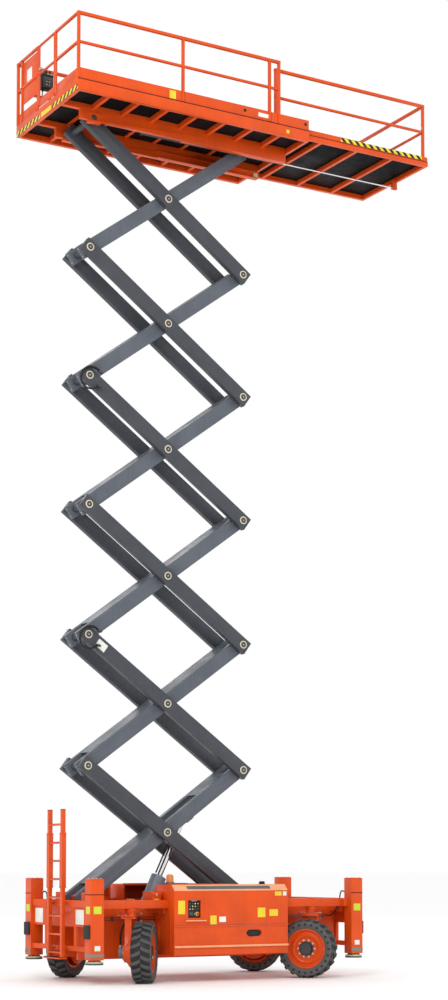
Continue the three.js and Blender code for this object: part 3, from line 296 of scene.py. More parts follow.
def move(x, y, z):
    """A place, as a matrix."""
    return Matrix.Translation((x, y, z))


def turn(degrees, axis):
    """A turn about an axis through the origin."""
    return Matrix.Rotation(math.radians(degrees), 4, axis)


def mirrored(side):
    """Mirrors a shape made for the +Y side when it belongs on the other side."""
    return Matrix.Scale(-1, 4, (0, 1, 0)) if side < 0 else Matrix.Identity(4)


def fit(name, body, whole, finishes, place=None, replaces=()):
    """Makes the joined shape an object that rides on its body."""
    if place is not None:
        bmesh.ops.transform(whole, matrix=place, verts=whole.verts)
    bmesh.ops.recalc_face_normals(whole, faces=whole.faces)
    mesh = bpy.data.meshes.new(name)
    whole.to_mesh(mesh)
    whole.free()
    for finish_name in finishes:
        mesh.materials.append(finish(finish_name))
    mesh.shade_smooth()
    mesh.set_sharp_from_angle(angle=SHARP)
    piece = bpy.data.objects.new(name, mesh)
    bpy.context.scene.collection.objects.link(piece)
    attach(piece, body)
    if replaces:
        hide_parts(*replaces)
    return piece


# ------------------------------------------------------------------ shared effects
def put(tree, kind, sockets=None, **settings):
    """Adds a node, sets it, and links or fills its inputs."""
    node = tree.nodes.new(kind)
    for key, value in settings.items():
        setattr(node, key, value)
    for key, value in (sockets or {}).items():
        if isinstance(value, bpy.types.NodeSocket):
            tree.links.new(value, node.inputs[key])
        else:
            node.inputs[key].default_value = value
    return node


def math_node(tree, operation, a, b=0.0, clamp=False):
    node = put(tree, "ShaderNodeMath", {0: a, 1: b}, operation=operation, use_clamp=clamp)
    return node.outputs[0]


def times(tree, a, b, clamp=False):
    return math_node(tree, "MULTIPLY", a, b, clamp)


def parts_of(tree, vector):
    return put(tree, "ShaderNodeSeparateXYZ", {0: vector}).outputs


def noise(tree, vector, scale, detail, roughness=0.5):
    node = put(tree, "ShaderNodeTexNoise", {"Vector": vector, "Scale": scale, "Detail": detail,
                                            "Roughness": roughness})
    return node.outputs[0]


def effect(name, inputs, output, build):
    """A node group with a vector, named numbers and one result, made once."""
    tree = bpy.data.node_groups.get(name)
    if tree is None:
        tree = bpy.data.node_groups.new(name, "ShaderNodeTree")
        tree.interface.new_socket("Vector", in_out="INPUT", socket_type="NodeSocketVector")
        for label, default in inputs:
            socket = tree.interface.new_socket(label, in_out="INPUT",
                                               socket_type="NodeSocketFloat")
            socket.default_value = default
        tree.interface.new_socket(output, in_out="OUTPUT", socket_type="NodeSocketFloat")
        entry = tree.nodes.new("NodeGroupInput")
        end = tree.nodes.new("NodeGroupOutput")
        tree.links.new(build(tree, entry.outputs), end.inputs[0])
    return tree


def mapped(tree, value, low, high, to_low=0.0, to_high=1.0):
    return put(tree, "ShaderNodeMapRange", {"Value": value, "From Min": low, "From Max": high,
                                            "To Min": to_low, "To Max": to_high}).outputs[0]


def cloudy(tree, entry):
    """Broad soft patches."""
    return mapped(tree, noise(tree, entry["Vector"], entry["Scale"], 5.0, 0.6), 0.36, 0.64)


def fine_grain(tree, entry):
    """The grain of a painted or moulded surface."""
    return noise(tree, entry["Vector"], entry["Scale"], 2.0)


def settled_dust(tree, entry):
    """Thicker near the ground and on faces that look up."""
    up = parts_of(tree, put(tree, "ShaderNodeNewGeometry").outputs["Normal"])[2]
    height = parts_of(tree, entry["Vector"])[2]
    low = mapped(tree, height, 0.1, 1.3, 1.0, 0.12)
    flat = mapped(tree, up, 0.3, 1.0, 0.35, 1.0)
    patches = mapped(tree, noise(tree, entry["Vector"], 7.0, 6.0, 0.65), 0.35, 0.7)
    return times(tree, times(tree, times(tree, low, flat), patches), entry["Amount"], True)


def rain_streaks(tree, entry):
    """Narrow marks that run down a face."""
    drawn = put(tree, "ShaderNodeMapping", {"Vector": entry["Vector"], "Scale": (16, 16, 0.7)})
    marks = mapped(tree, noise(tree, drawn.outputs[0], 1.0, 4.0, 0.7), 0.52, 0.74)
    return times(tree, marks, entry["Amount"], True)


def paint_chips(tree, entry):
    """Small hard-edged marks in clusters."""
    place, chip = (noise(tree, entry["Vector"], *kind) for kind in ((2.3, 3.0), (46.0, 4.0, 0.7)))
    where, marks = mapped(tree, place, 0.5, 0.72), mapped(tree, chip, 0.66, 0.69)
    return times(tree, times(tree, where, marks), entry["Amount"], True)


def slanted_stripes(tree, entry):
    """Even stripes at forty-five degrees on any upright face."""
    x, y, z = parts_of(tree, entry["Vector"])
    along = math_node(tree, "ADD", math_node(tree, "ADD", x, y), z)
    share = math_node(tree, "FRACT", math_node(tree, "DIVIDE", along, entry["Width"]))
    return math_node(tree, "GREATER_THAN", share, 0.5)


def tread_bars(tree, entry):
    """Raised bars of chequer plate, turned a quarter from each one to the next."""
    angle = put(tree, "ShaderNodeMapping", {"Vector": entry["Vector"],
                                            "Rotation": (0, 0, math.radians(45))})
    axes = parts_of(tree, angle.outputs[0])
    u, v = (math_node(tree, "DIVIDE", axes[i], entry["Pitch"]) for i in (0, 1))
    cell = math_node(tree, "ADD", math_node(tree, "FLOOR", u), math_node(tree, "FLOOR", v))
    odd = math_node(tree, "ABSOLUTE", math_node(tree, "MODULO", cell, 2.0))
    a, b = (math_node(tree, "SUBTRACT", math_node(tree, "FRACT", w), 0.5) for w in (u, v))
    swap, other = (put(tree, "ShaderNodeMix", {0: odd, 2: first, 3: second},
                       data_type="FLOAT").outputs[0] for first, second in ((a, b), (b, a)))
    far, wide = (math_node(tree, "POWER", math_node(tree, "DIVIDE", w, half), 2.0) for w,
                 half in ((swap, BAR_HALF_LENGTH), (other, BAR_HALF_WIDTH)))
    return mapped(tree, math_node(tree, "ADD", far, wide), 1.0, 0.5)


EFFECTS = {
    "Cloudy tone": ([("Scale", 3.0)], "Mask", cloudy),
    "Fine grain": ([("Scale", 300.0)], "Height", fine_grain),
    "Settled dust": ([("Amount", 0.5)], "Mask", settled_dust),
    "Rain streaks": ([("Amount", 0.3)], "Mask", rain_streaks),
    "Paint chips": ([("Amount", 0.5)], "Mask", paint_chips),
    "Slanted stripes": ([("Width", 0.16)], "Mask", slanted_stripes),
    "Tread bars": ([("Pitch", 0.032)], "Height", tread_bars),
}


def shared(tree, name, vector, **values):
    """Places one of the shared effects in a material with its own values."""
    node = put(tree, "ShaderNodeGroup", node_tree=effect(name, *EFFECTS[name]))
    tree.links.new(vector, node.inputs["Vector"])
    for label, value in values.items():
        node.inputs[label].default_value = value
    return node.outputs[0]


def blended(tree, mask, under, over):
    """One colour over another by a mask."""
    return put(tree, "ShaderNodeMix", {0: mask, 6: under, 7: over}, data_type="RGBA").outputs[2]


# ------------------------------------------------------------------ finishes
# a linear colour or a hue the user may change, then how the surface and its marks look
PAINT = dict(rough=0.4, coat=0.12, spec=0.22, grain=260, bump=0.01, dust=0.12, streaks=0.14,
             chips=0.3)
METAL = dict(rough=0.35, metal=1.0, grain=240, bump=0.03, dust=0.4)
PLAIN = dict(rough=0.55, spec=0.3, grain=420, bump=0.04, dust=0.2)
FINISHES = {
    "orange": dict(PAINT, hue="orange"),
    # a lighter copy of the orange paint: a painted highlight for faces that catch the light
    "orange_light": dict(PAINT, colour=(0.92, 0.42, 0.2), dust=0.05),
    "slate": dict(PAINT, hue="slate", rough=0.45, coat=0.0, bump=0.0, dust=0.1),
    "slate_dark": dict(PAINT, hue="slate_dark", rough=0.42, coat=0.0, bump=0.0, dust=0.1),
    "blue_grey": dict(PAINT, hue="blue_grey", rough=0.38, dust=0.5),
    "black": dict(PLAIN, hue="black"),
    "gloss_black": dict(PLAIN, hue="black", rough=0.22, coat=0.6),
    "deck": dict(PLAIN, hue="deck", rough=0.55, spec=0.08, dust=0.05, tread=0.032),
    "rubber": dict(PLAIN, hue="rubber", rough=0.85, spec=0.15, grain=150, bump=0.12, dust=0.15),
    "tread": dict(PLAIN, colour=(0.085, 0.087, 0.09), rough=0.85, spec=0.15, grain=150, bump=0.1),
    "chrome": dict(METAL, colour=(0.78, 0.79, 0.8), rough=0.09, bump=0.004, dust=0.0),
    "zinc": dict(METAL, colour=(0.62, 0.61, 0.57), rough=0.38),
    "cast": dict(METAL, colour=(0.19, 0.2, 0.21), rough=0.6, metal=0.6, grain=120, bump=0.25,
                 dust=0.8),
    "brass": dict(METAL, colour=(0.72, 0.6, 0.36), rough=0.34, metal=0.85),
    "cream": dict(PLAIN, colour=(0.72, 0.64, 0.48), rough=0.4, dust=0.1),
    "tyre_wall": dict(PLAIN, colour=(0.11, 0.113, 0.115), rough=0.8, spec=0.15, grain=150),
    # the orange paint darkened: painted shade for thin strips in joints and gaps
    "seam": dict(PLAIN, colour=(0.09, 0.012, 0.003), rough=0.7),
    "foot_grey": dict(PLAIN, colour=(0.24, 0.22, 0.17), dust=0.2),
    # grey of the blank banner, also used as painted shade in a gap
    "banner": dict(PLAIN, colour=(0.13, 0.13, 0.13), dust=0.1),
    "label_green": dict(PLAIN, colour=(0.62, 0.72, 0.04), rough=0.4, dust=0.1),
    "dark_steel": dict(METAL, colour=(0.09, 0.095, 0.1), rough=0.45, metal=0.7),
    "hose": dict(PLAIN, colour=(0.012, 0.012, 0.013), rough=0.48, grain=500),
    "pad": dict(PLAIN, colour=(0.66, 0.7, 0.36), rough=0.6, dust=0.2, streaks=0.1),
    "white": dict(PLAIN, colour=(0.86, 0.86, 0.82), rough=0.4, dust=0.4, streaks=0.15),
    "yellow": dict(PLAIN, colour=(0.86, 0.66, 0.03), rough=0.4, dust=0.3, streaks=0.15),
    "red": dict(PLAIN, colour=(0.55, 0.015, 0.01), rough=0.35, coat=0.4, dust=0.1),
    "green": dict(PLAIN, colour=(0.02, 0.26, 0.06), rough=0.35, coat=0.4, dust=0.1),
    "glass": dict(PLAIN, colour=(0.02, 0.035, 0.04), rough=0.08, coat=1.0, bump=0.0, dust=0.05),
    "amber": dict(PLAIN, hue="amber", rough=0.15, coat=0.8, bump=0.01, dust=0.05),
    "hazard": dict(PLAIN, colour=(0.85, 0.72, 0.03), rough=0.4, dust=0.1, stripes=0.15),
}
DUST = (0.32, 0.27, 0.22, 1)
CHIP = (0.1, 0.095, 0.09, 1)
GRIME = (0.05, 0.045, 0.04, 1)


def finish(name):
    """The material of that name, built on first use."""
    label = "lift_" + name
    if label in bpy.data.materials:
        return bpy.data.materials[label]
    spec = FINISHES[name]
    hue = spec.get("hue")
    colour = tuple(getattr(bpy.context.scene.lift_colours, hue) if hue else spec["colour"])
    material = bpy.data.materials.new(label)
    material.use_nodes = True
    tree = material.node_tree
    shader = tree.nodes["Principled BSDF"]
    place = put(tree, "ShaderNodeTexCoord").outputs["Object"]
    tone = shared(tree, "Cloudy tone", place, Scale=2.2)
    deep = tuple(c * 0.86 for c in colour)
    skin = blended(tree, tone, (*colour, 1), (*deep, 1))
    if "stripes" in spec:
        band = shared(tree, "Slanted stripes", place, Width=spec["stripes"])
        skin = blended(tree, band, skin, (0.012, 0.012, 0.013, 1))
    for key, effect_name, over in (("streaks", "Rain streaks", GRIME),
                                   ("chips", "Paint chips", CHIP), ("dust", "Settled dust", DUST)):
        if spec.get(key):
            mask = shared(tree, effect_name, place, Amount=spec[key])
            skin = blended(tree, mask, skin, over)
    tree.links.new(skin, shader.inputs["Base Color"])
    rough = spec["rough"]
    tree.links.new(mapped(tree, tone, 0, 1, rough * 0.85, min(1.0, rough * 1.25)),
                   shader.inputs["Roughness"])
    height = shared(tree, "Fine grain", place, Scale=spec["grain"])
    if "tread" in spec:
        height = shared(tree, "Tread bars", place, Pitch=spec["tread"])
    if spec["bump"]:
        strength = 0.7 if "tread" in spec else min(1.0, spec["bump"] * 4)
        bump = put(tree, "ShaderNodeBump", {"Strength": strength, "Distance": 0.002,
                                            "Height": height})
        tree.links.new(bump.outputs[0], shader.inputs["Normal"])
    shader.inputs["Metallic"].default_value = spec.get("metal", 0.0)
    shader.inputs["Specular IOR Level"].default_value = spec.get("spec", 0.5)
    shader.inputs["Coat Weight"].default_value = spec.get("coat", 0.0)
    shader.inputs["Coat Roughness"].default_value = 0.12
    if hue == "amber":
        shader.inputs["Subsurface Weight"].default_value = 0.3
    return material


CAD_FINISHES = {
    "inner_arms": "slate", "outer_arms": "slate_dark", "lift_cylinder_barrel": "blue_grey",
    "lift_cylinder_rod": "chrome", "extension_cylinder_barrel": "dark_steel",
    "extension_cylinder_rod": "chrome", "knuckle": "orange", "jack_leg": "slate",
    "control_panel": "black", "engine": "cast", "platform_deck": "deck",
    "extension_deck": "deck", "platform_control_box": "black", "tyre": "rubber",
    "beacon": "amber",
}


# ------------------------------------------------------------------ what a user may change
def paint(name, description, default):
    return FloatVectorProperty(name=name, description=description, default=default, size=3,
                               subtype="COLOR")


def length(name, description, default):
    return FloatProperty(name=name, description=description, default=default, unit="LENGTH")


class LiftColours(bpy.types.PropertyGroup):
    """Paint and rubber colours, linear."""
    orange: paint("Chassis and platform", "Main paint", (0.76, 0.08, 0.004))
    slate: paint("Inner arms", "Paint of the inner arms", (0.115, 0.13, 0.155))
    slate_dark: paint("Outer arms", "Paint of the outer arms", (0.066, 0.072, 0.084))
    blue_grey: paint("Lift cylinder", "Paint of the cylinder barrel", (0.2, 0.25, 0.3))
    black: paint("Boxes", "Control boxes and small mouldings", (0.016, 0.016, 0.018))
    deck: paint("Deck sheets", "Chequer plate of both decks", (0.004, 0.0045, 0.005))
    rubber: paint("Tyres", "Solid tyres", (0.045, 0.045, 0.047))
    amber: paint("Beacon", "Beacon lens", (0.85, 0.27, 0.02))


class LiftSizes(bpy.types.PropertyGroup):
    """Sizes of the fitted detail."""
    lug_pairs: IntProperty(name="Tread lugs", description="Pairs of lugs round each tyre",
                           default=22, min=8, max=40)
    wall_holes: IntProperty(name="Sidewall holes", description="Holes round each tyre wall",
                            default=24, min=0, max=40)
    tread_depth: length("Tread depth", "Height of a lug", 0.024)
    bolt: length("Bolt head", "Half width of a common bolt head", 0.012)
    hose: length("Hose", "Radius of a hydraulic hose", 0.011)
    seam: length("Door seam", "How far a door stands proud", 0.003)


def sizes():
    return bpy.context.scene.lift_sizes


def bolts(whole, places, tint, radius=None, height=0.008):
    """A bolt head at each place, standing on the place's Z."""
    repeat(whole, hex_bolt(radius or sizes().bolt, height), places, tint)


def facing(side, axis="Y"):
    """Turns a shape that stands on Z to stand out along +/-Y or +/-X."""
    if axis == "Y":
        return turn(-90 * side, "X")
    return turn(90 * side, "Y")


# ------------------------------------------------------------------ stage
class LIFT_OT_stage(bpy.types.Operator):
    """Floor, lights and camera"""
    bl_idname = "lift.stage"
    bl_label = "Stage"

    def execute(self, context):
        scene = context.scene
        bm = bmesh.new()
        bmesh.ops.create_grid(bm, x_segments=1, y_segments=1, size=400)
        mesh = bpy.data.meshes.new("floor")
        bm.to_mesh(mesh)
        bm.free()
        ground = bpy.data.materials.new("studio_floor")
        ground.use_nodes = True
        shader = ground.node_tree.nodes["Principled BSDF"]
        shader.inputs["Base Color"].default_value = (0.97, 0.97, 0.97, 1)
        shader.inputs["Roughness"].default_value = 0.9
        shader.inputs["Specular IOR Level"].default_value = 0.1
        mesh.materials.append(ground)
        floor = bpy.data.objects.new("floor", mesh)
        floor.location.z = -0.002
        scene.collection.objects.link(floor)
        world = bpy.data.worlds.new("studio")
        world.use_nodes = True
        world.node_tree.nodes["Background"].inputs[0].default_value = (1.0, 1.0, 1.0, 1)
        world.node_tree.nodes["Background"].inputs[1].default_value = 1.0
        scene.world = world
        scene.view_settings.view_transform = "Standard"
        for name, place, aim, size, power, tone in (("key", (-22, -24, 24), (0, 0, 6), 12, 3400,
                                                     (1.0, 0.98, 0.95)),
                                                    ("fill", (26, -22, 14), (0, 0, 6), 16, 300,
                                                     (0.95, 0.97, 1.0)),
                                                    ("back", (4, 28, 20), (0, 0, 8), 14, 600,
                                                     (1.0, 1.0, 1.0))):
            data = bpy.data.lights.new(name, "AREA")
            data.shape = "DISK"
            data.size = size
            data.energy = power
            data.color = tone
            lamp = bpy.data.objects.new(name, data)
            lamp.location = place
            lamp.rotation_euler = (Vector(aim) - Vector(place)).to_track_quat("-Z", "Y").to_euler()
            scene.collection.objects.link(lamp)
        data = bpy.data.cameras.new("camera")
        data.lens = LENS
        data.sensor_width = SENSOR
        data.shift_y = SHIFT
        data.clip_end = 1000
        camera = bpy.data.objects.new("camera", data)
        camera.location = CAMERA_PLACE
        camera.rotation_euler = (math.radians(CAMERA_PITCH), 0, math.radians(CAMERA_YAW))
        scene.collection.objects.link(camera)
        scene.camera = camera
        return {"FINISHED"}


# ------------------------------------------------------------------ CAD finishes
class LIFT_OT_finish_frame(bpy.types.Operator):
    """Gives each solid of the frame its paint and rounds its edges a little"""
    bl_idname = "lift.finish_frame"
    bl_label = "Frame finishes"

    def execute(self, context):
        for name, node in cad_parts.items():
            chosen = "orange"
            for start, finish_name in CAD_FINISHES.items():
                if name.startswith(start):
                    chosen = finish_name
            node.data.materials.clear()
            node.data.materials.append(finish(chosen))
            weld = node.modifiers.new("weld", "WELD")
            weld.merge_threshold = 0.0002
            edge = node.modifiers.new("edge", "BEVEL")
            edge.width = 0.004 if "deck" not in name else 0.0015
            edge.segments = 2
            edge.limit_method = "ANGLE"
            edge.angle_limit = math.radians(40)
            node.data.shade_smooth()
            smooth = node.modifiers.new("sharp", "EDGE_SPLIT")
            smooth.split_angle = SHARP
        return {"FINISHED"}


# ------------------------------------------------------------------ wheels
def knuckle_place(corner):
    """The knuckle's own frame: kingpin on Z, outboard side negative on Y."""
    end, side, steer = CORNERS[corner]
    return (move(cx(end * KINGPIN_X), side * SIDE_RAIL_Y, 0)
            @ turn(steer + (180 if side > 0 else 0), "Z"))


def wheel_place(corner):
    """The wheel's own frame: axle on Z, outboard side positive."""
    return knuckle_place(corner) @ move(0, -WHEEL_OFFSET, WHEEL_RADIUS) @ turn(90, "X")


def wrapped(bm, radius):
    """Bends a flat shape (X round the wheel, Y across it, Z outward) onto the wheel."""
    for v in bm.verts:
        angle, r, across = v.co.x / radius, radius + v.co.z, v.co.y
        v.co = (r * math.cos(angle), r * math.sin(angle), across)
    return bm


def tyre():
    size = sizes()
    base = WHEEL_RADIUS - size.tread_depth
    whole = bmesh.new()
    casing = turned([(0.3405, -0.138), (0.352, -0.152), (0.372, -0.158), (0.38, -0.164),
                     (0.415, -0.1695), (0.44, -0.167), (0.462, -0.158), (base - 0.006, -0.146),
                     (base, -0.132), (base, 0.132), (base - 0.006, 0.146), (0.462, 0.158),
                     (0.44, 0.167), (0.415, 0.1695), (0.38, 0.164), (0.372, 0.158), (0.352, 0.152),
                     (0.3405, 0.138), (0.3405, -0.138)], 88)
    for face in casing.faces:
        # faces out at the tread get the near-black hose colour, painted shade between the lugs;
        # the walls get the lighter tyre_wall rubber
        face.material_index = 2 if face.calc_center_median().xy.length < 0.455 else 1
    add(whole, casing)
    for side in SIDES:
        lug = outline([(-0.052, 0.006), (0.004, 0.0), (0.036, 0.062), (0.056, 0.128),
                       (0.058, 0.158), (0.006, 0.158), (0.0, 0.126), (-0.018, 0.07)],
                      size.tread_depth + 0.004, move(0, 0, -0.004), 0.003)
        bmesh.ops.transform(lug, matrix=mirrored(side), verts=lug.verts)
        bmesh.ops.subdivide_edges(lug, edges=[e for e in lug.edges if e.calc_length() > 0.05],
                                  cuts=1)
        wrapped(lug, base)
        for v in lug.verts:
            if abs(v.co.z) > 0.15:
                lean = Vector((v.co.x, v.co.y, 0)).normalized() * 0.03
                v.co -= lean
        shift = 0.5 if side > 0 else 0.0
        repeat(whole, lug, [turn(360 * (i + shift) / size.lug_pairs, "Z")
                            for i in range(size.lug_pairs)])
    # near-black discs round each wall, painted shade that stands in for the inside of the holes
    hole_shade_disc = bmesh.new()
    add(hole_shade_disc, turned([(0.023, 0.0), (0.023, 0.003), (0.019, 0.0035), (0.0, 0.0015)], 12), tint=1)
    places = [turn(360 * i / size.wall_holes, "Z") @ move(0.413, 0, side * 0.167)
              @ (turn(180, "X") if side < 0 else Matrix.Identity(4))
              for i in range(size.wall_holes) for side in SIDES]
    repeat(whole, hole_shade_disc, places)
    add(whole, ring(0.39, 0.393, 0.1672, 0.1705, steps=64, bevel=0.001),
        ring(0.39, 0.393, -0.1705, -0.1672, steps=64, bevel=0.001))
    return whole


def rim():
    whole = bmesh.new()
    add(whole, turned([(0.0, 0.0206), (0.17, 0.0206), (0.2, 0.028), (0.232, 0.045), (0.27, 0.03),
                       (0.29, 0.0), (0.3, -0.1), (0.302, -0.128), (0.318, -0.136), (0.335, -0.138),
                       (0.34, -0.134), (0.336, -0.11), (0.332, 0.1), (0.336, 0.126), (0.34, 0.134),
                       (0.334, 0.1385), (0.32, 0.1385), (0.312, 0.132), (0.306, 0.118),
                       (0.302, 0.085), (0.288, 0.072), (0.262, 0.075), (0.235, 0.098),
                       (0.205, 0.088), (0.18, 0.062), (0.12, 0.06), (0.0, 0.06)], 80))
    add(whole, turned([(0.118, 0.058), (0.122, 0.064), (0.122, 0.098), (0.112, 0.104),
                       (0.108, 0.132), (0.1, 0.142), (0.06, 0.1455), (0.0, 0.1455)], 48), tint=1)
    nut = bmesh.new()
    add(nut, bar((0, 0, 0), (0, 0, 0.024), 0.019, 6, tip=0.018),
        bar((0, 0, 0.02), (0, 0, 0.034), 0.009, 10))
    repeat(whole, nut, [turn(36 * i, "Z") @ move(0.1435, 0, 0.0605) for i in range(10)], 2)
    add(whole, bar((0.322, 0, 0.132), (0.322, 0, 0.15), 0.006, 10, 0.001), tint=2)
    return whole


class LIFT_OT_wheels(bpy.types.Operator):
    """Four solid tyres with chevron lugs on dished rims"""
    bl_idname = "lift.wheels"
    bl_label = "Wheels"

    def execute(self, context):
        for corner in CORNERS:
            place = wheel_place(corner)
            fit("treaded_tyre_" + corner, "wheel_" + corner, tyre(),
                ("tread", "hose", "tyre_wall"), place, ["tyre_" + corner])
            fit("dished_rim_" + corner, "wheel_" + corner, rim(),
                ("orange", "gloss_black", "zinc"), place, ["rim_" + corner])
        return {"FINISHED"}


class LIFT_OT_steering(bpy.types.Operator):
    """Steering plates, kingpin bolts, drive motors and brake hoses"""
    bl_idname = "lift.steering"
    bl_label = "Steering"

    def execute(self, context):
        for corner in CORNERS:
            whole = bmesh.new()
            add(whole, outline([(-0.19, -0.08), (0.19, -0.08), (0.21, 0.0), (0.15, 0.12),
                                (0.06, 0.24), (-0.06, 0.24), (-0.15, 0.12), (-0.21, 0.0)], 0.016,
                               move(0, 0, KNUCKLE_PLATE), 0.003))
            bolts(whole, [move(x, y, 1.1085) for x in (-0.16, 0.16) for y in (-0.05, 0.05)]
                  + [move(0, 0.2, 1.1085)], 1, 0.014)
            add(whole, ring(0.046, 0.075, 1.098, 1.112, steps=28), tint=1)
            add(whole, ring(0.165, 0.27, 0.0, 0.016, move(0, -0.018, AXLE) @ turn(90, "X")),
                ring(0.165, 0.235, 0.0, 0.03, move(0, 0.012, AXLE) @ turn(90, "X")),
                ring(0.165, 0.19, 0.0, 0.03, move(0, 0.042, AXLE) @ turn(90, "X")))
            add(whole, ring(0.095, 0.13, 0.0, 0.02, move(0, 0.12, AXLE) @ turn(90, "X")),
                ring(0.06, 0.098, 0.0, 0.05, move(0, 0.185, AXLE) @ turn(90, "X")), tint=2)
            bolts(whole, [move(0, 0.095, AXLE) @ turn(45 * i, "Y") @ move(0.14, 0, 0) @ facing(1)
                          for i in range(8)], 1)
            for x in (-0.045, 0.045):
                add(whole, bar((x, 0.16, 0.52), (x, 0.16, 0.62), 0.014, 12, 0.002), tint=1)
                add(whole, pipe([(x, 0.16, 0.61), (x, 0.17, 0.72), (x * 1.2, 0.16, 0.86),
                                 (x * 1.5, 0.1, 0.96), (x * 1.6, 0.05, 1.045)], sizes().hose),
                    tint=3)
            for x in (-0.095, 0.095):
                box(whole, about(x, 0.04), (-0.042, -0.034), (0.6, 0.98), 0.003)
            fit("steering_detail_" + corner, "knuckle_" + corner, whole,
                ("orange", "zinc", "cast", "hose"), knuckle_place(corner))
        return {"FINISHED"}


# ------------------------------------------------------------------ chassis
class LIFT_OT_chassis_detail(bpy.types.Operator):
    """Caps, labels, bumpers, towing eyes, gussets and hoses of the chassis"""
    bl_idname = "lift.chassis_detail"
    bl_label = "Chassis detail"

    def execute(self, context):
        whole = bmesh.new()
        for end in (-1, 1):
            face = cx(end * END_X)
            out = face + end * 0.001
            # posts: caps, seams, blank labels and bumpers
            for side in SIDES:
                x, y = cx(end * POST_X), side * POST_Y
                add(whole, slab(about(x, 0.119), about(y, 0.114), above(POST_TOP, -0.002, 0.01),
                                0.004), slab(about(x, 0.104), about(y, 0.099),
                                             above(POST_TOP, 0.01, 0.016), 0.003))
                bolts(whole, [move(x + a, y + b, POST_TOP + 0.016) for a in (-0.075, 0.075)
                              for b in (-0.07, 0.07)], 1)
                faces = span(y, side, 0.11, 0.114)
                # foot band, sleeve seam and blank labels: half widths, depth, heights; the sleeve
                # seam is painted shade, a darkened orange line in the joint
                for half_x, half_y, depth, z, bevel, tint in ((0.119, 0.11, 0.119, (0.44, 0.5),
                                                               0.002, 8),
                                                              (0.118, 0.11, 0.119, (1.443, 1.457),
                                                               0.001, 6),
                                                              (0.07, 0.07, 0.118, (1.14, 1.26),
                                                               0.001, 7)):
                    add(whole, slab(about(x, half_x), faces, z, bevel),
                        slab(span(x, end, 0.115, depth), about(y, half_y), z, 0.001), tint=tint)
                box(whole, about(x, 0.05), faces, (0.55, 0.63), 0.001, tint=3)
                outer = end * 0.115
                box(whole, span(x + outer, end, 0, 0.045), about(y, 0.085), (0.74, 0.96), 0.014, 3,
                    tint=2)
            box(whole, sorted((out, face - end * 0.02)), (-0.46, 0.46), (0.56, 0.6), 0.004)
            for y0, y1, z0, z1 in ((0.68, 0.98, 0.96, 1.2), (-0.88, -0.58, 0.96, 1.2)):
                plate_x = cx(end * (END_X - 0.025))
                box(whole, span(plate_x, end, 0, 0.003), (y0, y1), (z0, z1), 0.001, tint=3)
            # towing eye
            add(whole, ring(0.028, 0.05, -0.012, 0.012, move(face + end * 0.035, -0.1, 0.565)
                            @ turn(90, "X")),
                slab(span(face, end, -0.005, 0.02), (-0.14, -0.06), (0.53, 0.6), 0.003))
        for side in SIDES:
            y = side * SIDE_RAIL_Y
            for end in (-1, 1):
                x = cx(end * KINGPIN_X)
                add(whole, ring(0.0, 0.075, 0.0, 0.014, move(x, y, RAIL_TOP)))
                bolts(whole, [move(x, y, RAIL_TOP + 0.014) @ turn(60 * i, "Z") @ move(0.055, 0, 0)
                              for i in range(6)], 1, 0.009)
                add(whole, ring(0.085, 0.1, 0.0, 0.03, move(x, y, RAIL_BOTTOM - 0.04)))
                # gusset from the side rail to the boss
                for s in (-1, 1):
                    add(whole, outline([(0.08, 0), (0.24, 0), (0.08, -0.09)], 0.014, bevel=0.002),
                        place=move(x, y + 0.007, RAIL_BOTTOM) @ turn(90, "X")
                        @ Matrix.Scale(s, 4, (1, 0, 0)))
            keel = side * KEEL_Y
            for x in (-2.2, -1.35, 1.35, 2.2):
                bolts(whole, [move(cx(x), keel, z) @ facing(side) for z in (0.5, 0.62, 1.0, 1.12)],
                      1, 0.014)
            # hard lines clipped along the keel, then hoses to each jack
            for z in HARD_LINES:
                add(whole, pipe([(cx(-2.3), keel + side * 0.02, z),
                                 (cx(2.3), keel + side * 0.02, z)], 0.007, sides=8), tint=4)
            for x in (-1.9, -1.4, 1.4, 1.9):
                box(whole, about(cx(x), 0.012), span(keel, side, 0, 0.03), (1.0, 1.08), 0.002,
                    tint=4)
            for end in (-1, 1):
                x, y = cx(end * 2.3), keel + side * 0.02
                tip = (cx(end * (POST_X - 0.1)), side * (POST_Y - 0.125), 1.47)
                add(whole, pipe([(x, y, 1.06), (x + end * 0.05, y + side * 0.06, 1.02),
                                 (x + end * 0.08, side * 0.8, 1.1),
                                 (cx(end * 2.36), side * 0.98, 1.38),
                                 (tip[0] - end * 0.05, tip[1] - side * 0.06, 1.5), tip],
                                sizes().hose), tint=5)
                add(whole, bar((tip[0], tip[1] - side * 0.02, 1.47),
                               (tip[0], tip[1] + side * 0.016, 1.47), 0.02, 6, 0.002), tint=1)
        fit("chassis_detail", "chassis", whole,
            ("orange", "zinc", "rubber", "white", "dark_steel", "hose", "seam", "label_green",
             "foot_grey"))
        return {"FINISHED"}


